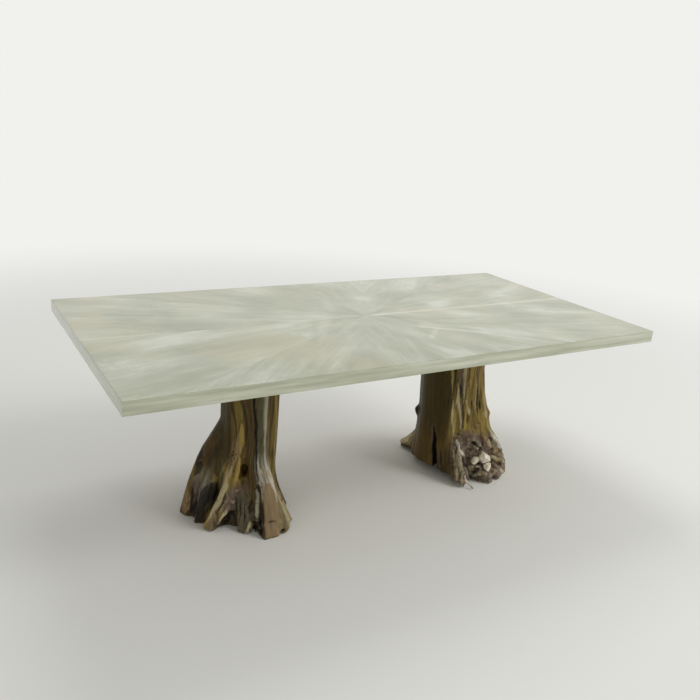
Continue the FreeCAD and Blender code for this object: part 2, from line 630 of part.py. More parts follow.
def cleft_tool(x, y, trunk_radius, root_reach, low_turn, high_turn, low_half, high_half,
               low_end, high_end, rise):
    """A wedge that stands in a cleft, sharp edge inwards, slimmer towards its top."""
    rings = []
    for turn, half, end, z in ((low_turn, low_half, low_end, -OVERRUN),
                               (high_turn, high_half, high_end, UNDERSIDE_Z * rise)):
        mouth = 2 * root_reach
        spread = trunk_radius * half * mouth / root_reach
        triangle = [vector(trunk_radius * end, 0, z), vector(mouth, -spread, z), vector(mouth, spread, z)]
        rings.append([turned(corner, x, y, turn) for corner in triangle])
    return plain_tool(rings)


def hollow_tool(x, y, trunk_radius, bearing, height, half_width, half_height, start, end):
    """A flat-sided plug that narrows inwards."""
    middle_z = UNDERSIDE_Z * height
    rings = []
    for distance, share in ((start, 1), (end, HOLLOW_END_SHARE)):
        ring = []
        for index in range(HOLLOW_SIDES):
            turn = math.pi * (2 * index + 1) / HOLLOW_SIDES
            corner = vector(trunk_radius * distance, trunk_radius * half_width * share * math.cos(turn),
                            middle_z + trunk_radius * half_height * share * math.sin(turn))
            ring.append(turned(corner, x, y, bearing))
        rings.append(ring)
    return plain_tool(rings)


def root_stone(x, y, trunk_radius, gap, bearing, height, distance, half_width, half_height, half_depth):
    """A broken stone with flat facets, or with a gap the pocket that it sits in."""
    middle_x, middle_z = trunk_radius * distance, UNDERSIDE_Z * height
    wide, tall, deep = (trunk_radius * share + gap for share in (half_width, half_height, half_depth))
    rings = []
    for depth_share, girth in STONE_GIRTH_SHARES:
        ring = []
        for index, corner_share in enumerate(STONE_CORNER_SHARES):
            turn = 2 * math.pi * index / len(STONE_CORNER_SHARES)
            reach = girth * corner_share
            corner = vector(middle_x + deep * depth_share, wide * reach * math.cos(turn),
                            middle_z + tall * reach * math.sin(turn))
            ring.append(turned(corner, x, y, bearing))
        rings.append(ring)
    return plain_tool(rings)


def undercut_tool(x, y, root_reach):
    """What is missing under one side of a foot: a wedge that rises outwards from the axis."""
    tool = block((0, -root_reach, -root_reach), (2 * root_reach, root_reach, 0))
    tool.rotate(vector(0, 0, 0), vector(0, 1, 0), -360 * UNDERCUT_SLOPE_SHARE)
    return placed(tool, x, y, UNDERCUT_BEARING_SHARE)


def make_stump(side, x, y, trunk_radius, root_reach, flare_height, heart, columns, saws, clefts,
               hollows, extra_tools):
    body = stump_body(x, y, trunk_radius, root_reach, flare_height, heart, columns)
    tools = [saw_tool(x, y, root_reach, *saw) for saw in saws]
    tools += [cleft_tool(x, y, trunk_radius, root_reach, *cleft) for cleft in clefts]
    tools += [hollow_tool(x, y, trunk_radius, *hollow) for hollow in hollows]
    tools += [plate_housing(x, y, trunk_radius)] + [lag_hole(*place) for place in lag_places(x, y)]
    for tool in tools + extra_tools:
        body = body.cut(tool)
    keep(side + "_stump", body)


make_leaves()
make_bands()
make_core_frame()
make_panels_and_bearers()
make_fastenings()
make_stump("left", LEFT_STUMP_X, LEFT_STUMP_Y, LEFT_TRUNK_RADIUS, LEFT_ROOT_REACH, LEFT_FLARE_HEIGHT,
           LEFT_HEART_SHARES, LEFT_COLUMN_SHARES, LEFT_SAW_SHARES, LEFT_CLEFT_SHARES,
           LEFT_HOLLOW_SHARES, [])
stone_seat = (RIGHT_STUMP_X, RIGHT_STUMP_Y, RIGHT_TRUNK_RADIUS)
pockets = [root_stone(*stone_seat, STONE_CLEARANCE, *row) for row in STONE_SHARES]
for index, row in enumerate(STONE_SHARES):
    keep("root_stone_%d" % (index + 1), root_stone(*stone_seat, 0, *row))
make_stump("right", RIGHT_STUMP_X, RIGHT_STUMP_Y, RIGHT_TRUNK_RADIUS, RIGHT_ROOT_REACH,
           RIGHT_FLARE_HEIGHT, RIGHT_HEART_SHARES, RIGHT_COLUMN_SHARES, RIGHT_SAW_SHARES,
           RIGHT_CLEFT_SHARES, RIGHT_HOLLOW_SHARES,
           [undercut_tool(RIGHT_STUMP_X, RIGHT_STUMP_Y, RIGHT_ROOT_REACH)] + pockets)

os.makedirs("parts", exist_ok=True)
for name, shape in NODES.items():
    shape.exportStep("parts/" + name + ".step")
    print(name, "solids", len(shape.Solids), "faces", len(shape.Faces), "valid", shape.isValid())
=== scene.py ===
# %% [markdown]
# # A sunburst table on two root stumps
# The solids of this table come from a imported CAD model. This lesson dresses them: it keeps the
# slab's own pieces and gives them real finishes, and it carves the two stumps, because a root has
# a grown surface that flat CAD facets only stand in for. The first cell loads the CAD pieces.

# %% Load the CAD pieces
import bpy, bmesh, json, math
import numpy as np
from mathutils import Euler, Matrix, Vector, noise


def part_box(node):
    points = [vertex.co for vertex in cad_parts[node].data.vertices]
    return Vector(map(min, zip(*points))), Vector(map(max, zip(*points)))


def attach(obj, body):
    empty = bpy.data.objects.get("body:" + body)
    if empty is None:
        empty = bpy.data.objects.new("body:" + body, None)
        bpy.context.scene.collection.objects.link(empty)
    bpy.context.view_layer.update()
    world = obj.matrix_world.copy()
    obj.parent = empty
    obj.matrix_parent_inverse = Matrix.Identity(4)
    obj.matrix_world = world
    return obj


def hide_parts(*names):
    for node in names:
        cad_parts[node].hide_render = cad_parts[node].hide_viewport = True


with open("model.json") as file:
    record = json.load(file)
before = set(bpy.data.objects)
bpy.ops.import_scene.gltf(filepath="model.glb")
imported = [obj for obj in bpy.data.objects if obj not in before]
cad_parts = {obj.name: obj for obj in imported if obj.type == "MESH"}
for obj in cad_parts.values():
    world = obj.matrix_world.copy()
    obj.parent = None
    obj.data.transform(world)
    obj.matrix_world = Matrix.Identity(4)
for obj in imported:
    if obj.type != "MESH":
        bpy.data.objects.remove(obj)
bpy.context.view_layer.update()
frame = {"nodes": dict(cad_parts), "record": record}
parts = frame["nodes"]

# %% [markdown]
# The camera comes first, because everything else is judged through it. Its place was worked out
# from the slab's four top corners in the photograph: a standing person's eye, about 1.6 m up, in
# front of the left end, looking down a little and held a few degrees off level.

# %% Camera
SENSOR_WIDTH = 36
FRAME_PIXELS = 700
FOCAL_PIXELS = 736.5
EYE = (-1.5539, -2.4028, 1.5803)
DEGREES_DOWN, DEGREES_RIGHT, DEGREES_TILTED = 18.648, 31.953, 4.687


def placed(name, data):
    """A new object in the scene, made of this data."""
    item = bpy.data.objects.new(name, data)
    bpy.context.scene.collection.objects.link(item)
    return item


camera_data = bpy.data.cameras.new("viewpoint")
camera_data.sensor_width = SENSOR_WIDTH
camera_data.lens = SENSOR_WIDTH * FOCAL_PIXELS / FRAME_PIXELS
camera = placed("viewpoint", camera_data)
aim = Euler((math.radians(90 - DEGREES_DOWN), 0, math.radians(-DEGREES_RIGHT))).to_matrix()
tilt = Matrix.Rotation(math.radians(DEGREES_TILTED), 3, "Z")
camera.matrix_world = Matrix.Translation(EYE) @ (aim @ tilt).to_4x4()
bpy.context.scene.camera = camera
print("lens mm:", round(camera_data.lens, 2))

# %% [markdown]
# Materials in Blender are graphs of nodes. One helper adds a node, sets it up and links it, and one
# turns the hex colours of a paint chart into the linear numbers that light works in.

# %% Helpers for materials
def linear(hex_code):
    """An sRGB hex colour as linear red, green, blue and alpha."""
    values = [int(hex_code[i:i + 2], 16) / 255 for i in (1, 3, 5)]
    return [v / 12.92 if v <= 0.04045 else ((v + 0.055) / 1.055) ** 2.4 for v in values] + [1.0]


def add(tree, kind, inputs=(), stops=(), **settings):
    """Adds one node. Another node or its socket is linked to a socket, a value is set on it, and
    stops are the (place, hex colour) pairs of a colour ramp."""
    item = tree.nodes.new(kind)
    for name, value in settings.items():
        setattr(item, name, value)
    for key, value in dict(inputs).items():
        if isinstance(value, bpy.types.Node):
            value = value.outputs[0]
        if isinstance(value, bpy.types.NodeSocket):
            tree.links.new(value, item.inputs[key])
        else:
            item.inputs[key].default_value = value
    for index, (place, colour) in enumerate(stops):
        places = item.color_ramp.elements
        element = places[index] if index < len(places) else places.new(place)
        element.position = place
        element.color = linear(colour)
    return item


def new_graph(name):
    """A new material and its empty graph."""
    material = bpy.data.materials.new(name)
    material.use_nodes = True
    material.node_tree.nodes.clear()
    return material, material.node_tree


def repeats(*sizes):
    """How often features of these sizes in millimetres come round in a metre, along each axis."""
    return tuple(1000 / size for size in sizes)


print("#808080 is linear", round(linear("#808080")[0], 3))

# %% [markdown]
# The stage is a pale floor without an edge. A studio has a paper sheet with a curved rise for that.
# Here the floor is flat and takes real shadows near the table, and further out it fades into the
# colour of the background, which is simpler and hides the horizon as well.

# %% Floor
BACKDROP = "#F1F1EE"
FLOOR_HALF_SIZE = 30
FADE_FROM, FADE_TO = 1.8, 5.5
floor_mesh = bmesh.new()
bmesh.ops.create_grid(floor_mesh, x_segments=1, y_segments=1, size=FLOOR_HALF_SIZE)
floor_data = bpy.data.meshes.new("floor")
floor_mesh.to_mesh(floor_data)
floor_mesh.free()
floor = placed("floor", floor_data)
paper, tree = new_graph("pale_studio_paper")
place = add(tree, "ShaderNodeTexCoord").outputs["Object"]
reach = add(tree, "ShaderNodeVectorMath", {0: place}, operation="LENGTH").outputs["Value"]
fade = add(tree, "ShaderNodeMapRange", {"Value": reach, "From Min": FADE_FROM, "From Max": FADE_TO},
           interpolation_type="SMOOTHSTEP")
matt = add(tree, "ShaderNodeBsdfDiffuse", {"Color": linear("#E9E9E4")})
glow = add(tree, "ShaderNodeEmission", {"Color": linear(BACKDROP)})
both = add(tree, "ShaderNodeMixShader", {0: fade, 1: matt, 2: glow})
add(tree, "ShaderNodeOutputMaterial", {"Surface": both})
floor_data.materials.append(paper)
print("floor half size m:", FLOOR_HALF_SIZE)

# %% [markdown]
# The world lights everything evenly. A Light Path node splits it in two: as a lamp it is dimmer,
# while the camera and the lacquer see the bright backdrop, so that the gloss has it to mirror.

# %% World
AMBIENT = 0.45
world = bpy.data.worlds.new("studio")
bpy.context.scene.world = world
world.use_nodes = True
tree = world.node_tree
tree.nodes.clear()
path = add(tree, "ShaderNodeLightPath")
seen = add(tree, "ShaderNodeMath", {0: path.outputs["Is Camera Ray"], 1: path.outputs["Is Glossy Ray"]},
           operation="MAXIMUM")
seen = add(tree, "ShaderNodeMath", {0: seen, 1: path.outputs["Is Transmission Ray"]}, operation="MAXIMUM")
lit = add(tree, "ShaderNodeBackground", {"Color": linear("#FFFFFF"), "Strength": AMBIENT})
shown = add(tree, "ShaderNodeBackground", {"Color": linear(BACKDROP), "Strength": 1.0})
mixed = add(tree, "ShaderNodeMixShader", {0: seen, 1: lit, 2: shown})
add(tree, "ShaderNodeOutputWorld", {"Surface": mixed})
bpy.context.scene.view_settings.view_transform = "Standard"
print("world strength:", AMBIENT)

# %% [markdown]
# Three soft lamps stand in for an open sky, since lamps are easier to balance than a picture of a
# sky. The large one hangs high to the right and in front, as
# the light does in the photograph, and leaves the stumps' left sides in shade. The one behind hangs
# so high that the polished top doesn't mirror it towards the camera.

# %% Lamps
def soft_lamp(name, place, target, size, watts):
    """A square area lamp that faces a point, with its size in metres."""
    data = bpy.data.lights.new(name, "AREA")
    data.size = size
    data.energy = watts
    lamp = placed(name, data)
    lamp.location = place
    lamp.rotation_euler = (Vector(target) - Vector(place)).to_track_quat("-Z", "Y").to_euler()


LAMPS = {"key": ((5.1, -4.8, 5.4), (0.1, 0, 0.5), 3.6, 320),
         "fill": ((-3.6, -2.8, 2.2), (-0.2, 0, 0.4), 2.6, 10),
         "back": ((0.4, 1.9, 4.4), (0, 0.1, 0.6), 2.2, 60)}
for name, lamp in LAMPS.items():
    soft_lamp(name, *lamp)
print("lamps:", len(LAMPS))

# %% [markdown]
# The show face is twelve wedges of bleached hardwood veneer whose grain runs out from the middle,
# like rays. Neighbours mirror each other, as leaves from one log do when they are opened like a
# book, so the pattern folds the angle round the middle back and forth at every seam. What the eye
# sees is a satin sheen that changes in broad soft bands, fine grain in it, and a thick clear coat.

# %% Sunburst veneer: its directions
PITCH = math.pi / 6
veneer, tree = new_graph("bleached_sunburst_veneer_lacquered")
place = add(tree, "ShaderNodeTexCoord").outputs["Object"]
split = add(tree, "ShaderNodeSeparateXYZ", {0: place})
around = add(tree, "ShaderNodeMath", {0: split.outputs["Y"], 1: split.outputs["X"]}, operation="ARCTAN2")
level = add(tree, "ShaderNodeCombineXYZ", {"X": split.outputs["X"], "Y": split.outputs["Y"]})
out = add(tree, "ShaderNodeVectorMath", {0: level}, operation="LENGTH").outputs["Value"]
folded = add(tree, "ShaderNodeMath", {0: around, 1: PITCH}, operation="PINGPONG")
folded = add(tree, "ShaderNodeMath", {0: folded, 1: PITCH / 2}, operation="SUBTRACT")
turns = add(tree, "ShaderNodeMath", {0: around, 1: PITCH}, operation="DIVIDE")
leaf = add(tree, "ShaderNodeMath", {0: turns}, operation="FLOOR")
pair = add(tree, "ShaderNodeMath", {0: leaf, 1: 0.5}, operation="MULTIPLY")
pair = add(tree, "ShaderNodeMath", {0: pair}, operation="CEIL")
cosine = add(tree, "ShaderNodeMath", {0: folded}, operation="COSINE")
sine = add(tree, "ShaderNodeMath", {0: folded}, operation="SINE")
along = add(tree, "ShaderNodeMath", {0: out, 1: cosine}, operation="MULTIPLY")
across = add(tree, "ShaderNodeMath", {0: out, 1: sine}, operation="MULTIPLY")
grain = add(tree, "ShaderNodeCombineXYZ", {"X": along, "Y": across, "Z": pair})
print("leaf pitch in degrees:", round(math.degrees(PITCH)))

# %% [markdown]
# Three noises stretched along the grain make the figure: clouds about 300 mm long and 150 wide,
# streaks about 25 wide, and fibres of 2 mm, which are drawn two or three times too coarse so that
# they still show in a picture of the whole table. Their contrast is low, as in bleached maple. The
# third size moves each pair of leaves to a part of the noise of its own.

# %% Sunburst veneer: its figure
PAIR_SIZE = 1300
STREAK_SHARE, FIBRE_SHARE = 0.30, 0.22
layers = []
for long, wide, detail in ((300, 150, 6), (340, 26, 5), (110, 2.4, 2)):
    spread = add(tree, "ShaderNodeVectorMath", {0: grain, 1: repeats(long, wide, PAIR_SIZE)},
                 operation="MULTIPLY")
    layers.append(add(tree, "ShaderNodeTexNoise", {"Vector": spread, "Scale": 1.0, "Detail": detail}))
clouds, streaks, fibres = layers
tone = add(tree, "ShaderNodeMath", {0: streaks, 1: STREAK_SHARE, 2: clouds}, operation="MULTIPLY_ADD")
tone = add(tree, "ShaderNodeMath", {0: fibres, 1: FIBRE_SHARE, 2: tone}, operation="MULTIPLY_ADD")
print("layers of figure:", len(layers))

# %% [markdown]
# Some marks have their own places on this top: the pale seam line down the middle, and single
# light and dark flames in the wood. Each is a line from one point to another in metres from the
# middle, with its half width and its strength, and the node graph measures how near a point is.

# %% Sunburst veneer: its single marks
MARKS = (((0.05, 0.0), (1.12, 0.0), 0.010, 0.42), ((0.03, 0.0), (1.12, 0.004), 0.022, 0.07),
         ((-1.12, 0.012), (-0.80, 0.008), 0.012, 0.14), ((0.143, -0.193), (0.357, -0.335), 0.020, 0.20),
         ((0.186, -0.235), (0.10, -0.321), 0.022, 0.20), ((0.10, -0.04), (0.15, -0.14), 0.045, -0.16),
         ((-0.186, -0.021), (-0.586, -0.42), 0.045, 0.09),
         ((-0.243, -0.036), (-0.486, -0.464), 0.030, -0.09),
         ((-0.10, -0.079), (-0.386, -0.464), 0.045, 0.06), ((-0.20, -0.03), (-1.05, -0.10), 0.070, 0.10),
         ((-0.41, -0.15), (-0.80, -0.19), 0.060, -0.09), ((-0.957, 0.278), (-0.629, 0.164), 0.010, -0.14),
         ((-1.08, 0.265), (-0.76, 0.185), 0.012, 0.12), ((-0.30, 0.114), (-0.157, 0.078), 0.012, -0.14),
         ((0.24, 0.06), (0.36, 0.085), 0.030, -0.10), ((0.943, -0.20), (1.071, -0.235), 0.014, 0.14),
         ((-0.04, 0.28), (-0.10, 0.10), 0.040, 0.08), ((0.95, 0.22), (1.08, 0.28), 0.035, 0.09))
for (ax, ay), (bx, by), half, strength in MARKS:
    wx, wy = bx - ax, by - ay
    square = wx * wx + wy * wy
    off = add(tree, "ShaderNodeVectorMath", {0: level, 1: (ax, ay, 0)}, operation="SUBTRACT")
    share = add(tree, "ShaderNodeVectorMath", {0: off, 1: (wx / square, wy / square, 0)},
                operation="DOT_PRODUCT").outputs["Value"]
    share = add(tree, "ShaderNodeMath", {0: share, 1: 0.0}, operation="ADD", use_clamp=True)
    near = add(tree, "ShaderNodeVectorMath", {0: (wx, wy, 0), "Scale": share}, operation="SCALE")
    gap = add(tree, "ShaderNodeVectorMath", {0: off, 1: near}, operation="DISTANCE").outputs["Value"]
    mark = add(tree, "ShaderNodeMapRange", {"Value": gap, "From Max": half, "To Min": strength,
                                            "To Max": 0.0}, interpolation_type="SMOOTHSTEP")
    tone = add(tree, "ShaderNodeMath", {0: tone, 1: mark}, operation="ADD")
print("marks on the top:", len(MARKS))

# %% [markdown]
# A ripple across the grain, 9 mm long, shows in patches about 240 mm across, and short flecks 4 mm
# wide, some dark and some light, lie along the rays. The tone then becomes colour: grey-green in the
# darker wood, nearly white in the lighter, with beige clouds 290 mm across where the bleach took less.

# %% Sunburst veneer: its ripple, flecks and colour
spread = add(tree, "ShaderNodeVectorMath", {0: grain, 1: repeats(9, 34, PAIR_SIZE)}, operation="MULTIPLY")
ripple = add(tree, "ShaderNodeTexNoise", {"Vector": spread, "Scale": 1.0, "Detail": 1})
patches = add(tree, "ShaderNodeTexNoise", {"Vector": place, "Scale": 4.2, "Detail": 1})
patches = add(tree, "ShaderNodeMapRange", {"Value": patches, "From Min": 0.60, "From Max": 0.72,
                                           "To Max": 0.22})
ripple = add(tree, "ShaderNodeMath", {0: ripple, 1: 0.5}, operation="SUBTRACT")
tone = add(tree, "ShaderNodeMath", {0: ripple, 1: patches, 2: tone}, operation="MULTIPLY_ADD")
spread = add(tree, "ShaderNodeVectorMath", {0: grain, 1: repeats(75, 4, PAIR_SIZE)}, operation="MULTIPLY")
fleck = add(tree, "ShaderNodeTexNoise", {"Vector": spread, "Scale": 1.0, "Detail": 2})
for low, high, strength in ((0.63, 0.74, 0.14), (0.37, 0.26, -0.16)):
    patch = add(tree, "ShaderNodeMapRange", {"Value": fleck, "From Min": low, "From Max": high,
                                             "To Max": strength})
    tone = add(tree, "ShaderNodeMath", {0: tone, 1: patch}, operation="ADD")
colour = add(tree, "ShaderNodeValToRGB", {"Fac": tone},
             [(0.50, "#90947B"), (0.68, "#9EA28A"), (0.82, "#ADB19B"), (1.00, "#C5C9B9")])
beige = add(tree, "ShaderNodeTexNoise", {"Vector": place, "Scale": 3.4, "Detail": 5, "Distortion": 0.8})
beige = add(tree, "ShaderNodeMapRange", {"Value": beige, "From Min": 0.45, "From Max": 0.68,
                                         "To Max": 0.42})
colour = add(tree, "ShaderNodeMix", {0: beige, 6: colour, 7: linear("#B9AE8E")},
             data_type="RGBA").outputs[2]
print("nodes in the veneer so far:", len(tree.nodes))

# %% [markdown]
# The finish is a clear, polished lacquer over sanded veneer: a smooth coat over a satin ground. Each
# CAD piece keeps its mesh and only gets a material, and the twelve leaves share this one, because
# the pattern knows by its place in the top which leaf it is on.

# %% Sunburst veneer: its lacquer
shader = add(tree, "ShaderNodeBsdfPrincipled",
             {"Base Color": colour, "Roughness": 0.34, "IOR": 1.5, "Specular IOR Level": 0.3,
              "Coat Weight": 0.6, "Coat Roughness": 0.09, "Coat IOR": 1.5})
add(tree, "ShaderNodeOutputMaterial", {"Surface": shader})


def dress(name, material):
    """Gives a piece one finish."""
    parts[name].data.materials.clear()
    parts[name].data.materials.append(material)


leaves = [name for name in parts if name.startswith("sunburst_leaf")]
for name in leaves:
    dress(name, veneer)
print("leaves dressed:", len(leaves))

# %% [markdown]
# The edge bands are the same bleached wood, but solid, with the grain along each band. One recipe
# makes all the plain wood of this table, because such woods differ only in their streaks, which are
# stretched along the grain, in the colours between which these run, and in the finish.

# %% Edge bands
def plain_wood(name, stretch, detail, stops, finish):
    """Wood with streaks along its grain. The finish is a table of the shader's own settings."""
    material, tree = new_graph(name)
    place = add(tree, "ShaderNodeTexCoord").outputs["Object"]
    spread = add(tree, "ShaderNodeVectorMath", {0: place, 1: stretch}, operation="MULTIPLY")
    streaks = add(tree, "ShaderNodeTexNoise", {"Vector": spread, "Scale": 1.0, "Detail": detail})
    colour = add(tree, "ShaderNodeValToRGB", {"Fac": streaks}, stops)
    shader = add(tree, "ShaderNodeBsdfPrincipled", {"Base Color": colour, **finish})
    add(tree, "ShaderNodeOutputMaterial", {"Surface": shader})
    return material


BLEACHED = ((0.25, "#9A9D84"), (0.5, "#B0B39B"), (0.75, "#C8CAB8"))
LACQUER = {"Roughness": 0.36, "IOR": 1.5, "Coat Weight": 1.0, "Coat Roughness": 0.08, "Coat IOR": 1.5}
long_wood = plain_wood("bleached_edge_wood_long", repeats(260, 16, 16), 5, BLEACHED, LACQUER)
short_wood = plain_wood("bleached_edge_wood_short", repeats(16, 260, 16), 5, BLEACHED, LACQUER)
BANDS = {"front": long_wood, "back": long_wood, "left": short_wood, "right": short_wood}
for name, material in BANDS.items():
    dress(name + "_edge_band", material)
print("bands dressed:", len(BANDS))

# %% [markdown]
# Below the show face: a sealed backing veneer, plywood panels, a softwood frame with beech joints,
# black steel plates let into the stumps, and zinc-plated fixings in brass inserts. Most of it is
# seen only when the table is taken apart, so each gets the plain finish its workshop would give it.
# The speckle on the metals is under 2 mm, which is coarser than real, so that it shows at all.

# %% Hidden and underside pieces
def bare_wood(name, dark, light, stretch, roughness=0.6):
    """Machined, unlacquered wood with grain along its piece."""
    stops = ((0.3, dark), (0.7, light))
    return plain_wood(name, stretch, 6, stops, {"Roughness": roughness, "IOR": 1.45})


def worked_metal(name, colour, metallic, roughness):
    """Metal, or paint on metal, with a fine speckle in its surface."""
    material, tree = new_graph(name)
    place = add(tree, "ShaderNodeTexCoord").outputs["Object"]
    specks = add(tree, "ShaderNodeTexNoise", {"Vector": place, "Scale": 600.0, "Detail": 3})
    bump = add(tree, "ShaderNodeBump", {"Height": specks, "Strength": 0.15, "Distance": 0.0002})
    shader = add(tree, "ShaderNodeBsdfPrincipled",
                 {"Base Color": linear(colour), "Metallic": metallic, "Roughness": roughness,
                  "Normal": bump})
    add(tree, "ShaderNodeOutputMaterial", {"Surface": shader})
    return material


SLOT_FINISHES = {
    "backing_veneer": bare_wood("sealed_backing_veneer", "#8F8468", "#AFA485", repeats(330, 14, 14), 0.5),
    "core_panel_ply": bare_wood("sanded_plywood", "#A98A5E", "#C9AE82", repeats(330, 25, 25)),
    "core_frame_wood": bare_wood("planed_softwood", "#B08F60", "#D0B384", repeats(160, 16, 16)),
    "joint_beech": bare_wood("planed_beech", "#B58A63", "#CDA57D", repeats(50, 12, 12)),
    "black_plate_steel": worked_metal("black_powder_coated_steel", "#1B1B1C", 0.0, 0.5),
    "zinc_steel": worked_metal("zinc_plated_steel", "#B4B6B8", 1.0, 0.32),
    "insert_brass": worked_metal("turned_brass", "#C9A75A", 1.0, 0.3)}
hidden = [entry for entry in frame["record"]["subparts"] if entry["material_slot"] in SLOT_FINISHES]
for entry in hidden:
    dress(entry["node"], SLOT_FINISHES[entry["material_slot"]])
print("hidden pieces dressed:", len(hidden))

# %% [markdown]
# A root stump is too irregular to model face by face. It is carved instead, as a sculptor would:
# the CAD solid and a few extra roots are melted into one even skin of small squares with a voxel
# remesh, the skin is smoothed until the facets are gone, and then every point is pushed in or out
# along its normal. The places of grooves and ridges are read as a bearing round the trunk's axis, as
# a share of a full turn, and a height, as a share of the trunk's.

# %% The two trunks
TRUNK_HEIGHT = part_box("left_stump")[1].z
TRUNKS = {"left": {"axis": (-0.488, 0.0), "radius": 0.112, "reach": 0.262},
          "right": {"axis": (0.507, 0.014), "radius": 0.142, "reach": 0.305}}
print("trunk height m:", round(TRUNK_HEIGHT, 4))

# %% [markdown]
# An extra root could be a curve with a bevel. A chain of cones with a ball at each joint is as good
# here, since the remesh melts it into the trunk, and each station can have any thickness. The squares
# of the skin are 4.2 mm wide: small enough for a drying check, and few enough to stay quick.

# %% Melt a stump and its roots into one skin
VOXEL = 0.0042
WELD = 1e-5
LIMB_SIDES = 14


def spot(side, bearing, distance, height):
    """A point by its bearing, its distance from the trunk's axis in mm and its height in mm."""
    x, y = TRUNKS[side]["axis"]
    turn = 2 * math.pi * bearing
    reach = distance / 1000
    return Vector((x + reach * math.cos(turn), y + reach * math.sin(turn), height / 1000))


def add_limb(shape, side, stations):
    """A tapered root through stations of (bearing, distance, height, radius), ready to be melted in."""
    points = [(spot(side, *row[:3]), row[3] / 1000) for row in stations]
    for point, radius in points:
        bmesh.ops.create_icosphere(shape, subdivisions=2, radius=radius, matrix=Matrix.Translation(point))
    for (low, low_radius), (high, high_radius) in zip(points, points[1:]):
        way = high - low
        turned = way.to_track_quat("Z", "Y").to_matrix().to_4x4()
        bmesh.ops.create_cone(shape, cap_ends=True, segments=LIMB_SIDES, radius1=low_radius,
                              radius2=high_radius, depth=way.length,
                              matrix=Matrix.Translation((low + high) / 2) @ turned)


def melted(side, limbs):
    """One closed skin of even squares over the CAD stump and its extra roots."""
    shape = bmesh.new()
    shape.from_mesh(parts[side + "_stump"].data)
    bmesh.ops.remove_doubles(shape, verts=shape.verts, dist=WELD)
    for stations in limbs:
        add_limb(shape, side, stations)
    data = bpy.data.meshes.new("rough_" + side)
    shape.to_mesh(data)
    shape.free()
    rough = placed("rough_" + side, data)
    remesh = rough.modifiers.new("voxels", "REMESH")
    remesh.mode = "VOXEL"
    remesh.voxel_size = VOXEL
    skin = bpy.data.meshes.new_from_object(rough.evaluated_get(bpy.context.evaluated_depsgraph_get()))
    bpy.data.objects.remove(rough)
    skin.name = side + "_root_skin"
    return skin


print("squares of the skin in mm:", 1000 * VOXEL)

# %% [markdown]
# A loop could move the points one by one, but a stump has tens of thousands. As an array they are
# read from the mesh in one go, moved together, and written back. Relaxing draws each point towards
# its neighbours, as sanding does.

# %% Points as arrays
def points_of(mesh, what="co"):
    """The places of all points, or their normals, as rows of an array."""
    flat = np.empty(len(mesh.vertices) * 3)
    mesh.vertices.foreach_get(what, flat)
    return flat.reshape(-1, 3)


def put_points(mesh, points):
    """Moves all points of the mesh to new places."""
    mesh.vertices.foreach_set("co", points.ravel())
    mesh.update()


def relaxed(mesh, values, rounds, strength=0.5):
    """Draws every row of values towards the mean of its neighbours' rows, a few rounds over."""
    pairs = np.empty(len(mesh.edges) * 2, dtype=np.int64)
    mesh.edges.foreach_get("vertices", pairs)
    first, second = pairs.reshape(-1, 2).T
    count = np.maximum(np.bincount(pairs, minlength=len(values)), 1)[:, None]
    for _ in range(rounds):
        total = np.empty_like(values)
        for column in range(values.shape[1]):
            total[:, column] = (np.bincount(first, values[second, column], len(values))
                                + np.bincount(second, values[first, column], len(values)))
        values = values + strength * (total / count - values)
    return values


print("points of the left CAD stump:", len(points_of(parts["left_stump"].data)))

# %% [markdown]
# Sculpting by hand would do for the grooves, but strokes in a table can be read and changed. A stroke
# of the gouge is a line of bearings and heights with a width and a depth: points under its middle
# move most, those at its edge not at all. Each also leaves a stain, which is why it is named for its
# colour. Waves are smooth noise, stretched where they should follow the grain.

# %% Strokes, ranges and waves
FULLNESS, THIN_END, NOT_ZERO = 4.4, 0.12, 1e-12
NOISE_STEP = (7.3, 3.1, 5.7)


def between(values, low, high, soft):
    """1 inside a range and 0 outside, with soft ends."""
    return np.clip((values - low) / soft + 0.5, 0, 1) * np.clip((high - values) / soft + 0.5, 0, 1)


def stroke_mask(bearing, distance, height, path, half_width):
    """From 1 under the middle of a stroke to 0 at its edge, along a parabola. A stroke narrows
    towards both its ends, unless it comes down from under the slab."""
    mask = np.zeros(len(bearing))
    arc = 2 * math.pi * distance
    middle = path[len(path) // 2][0]
    away = (bearing - middle + 0.5) % 1 - 0.5
    ends = [((turn - middle - away) * arc, share * TRUNK_HEIGHT - height) for turn, share in path]
    first = 0.5 if path[0][1] >= 1 else 0.0
    step = (1 - first) / (len(path) - 1)
    for index, ((ax, az), (bx, bz)) in enumerate(zip(ends, ends[1:])):
        wx, wz = bx - ax, bz - az
        share = np.clip(-(ax * wx + az * wz) / (wx * wx + wz * wz + NOT_ZERO), 0, 1)
        along = first + (index + share) * step
        width = half_width * np.sqrt(np.clip(FULLNESS * along * (1 - along), THIN_END, 1))
        mask = np.maximum(mask, 1 - (np.hypot(ax + share * wx, az + share * wz) / width) ** 2)
    return mask


def waves(points, sizes, seed):
    """Smooth noise from about -1 to 1 at every point; sizes in metres along each axis."""
    shift = Vector([seed * step for step in NOISE_STEP])
    return np.array([noise.noise(Vector(row) + shift) for row in (points / sizes).tolist()])


print("a range from 0.2 to 0.8, read at 0.21:", between(0.21, 0.2, 0.8, 0.1).round(2))

# %% [markdown]
# Now the left stump's own form: a slim trunk on two spread feet, with a deep cleft between them. An
# extra root is a row of stations, each with its bearing, its distance from the axis, its height and
# its radius in millimetres. A stroke is a stain, a depth and half a width in millimetres, and the
# bearings and heights it runs through. Minus is carved away and plus is built up. Heights are shares
# of the trunk's, and 1 is just under the slab.

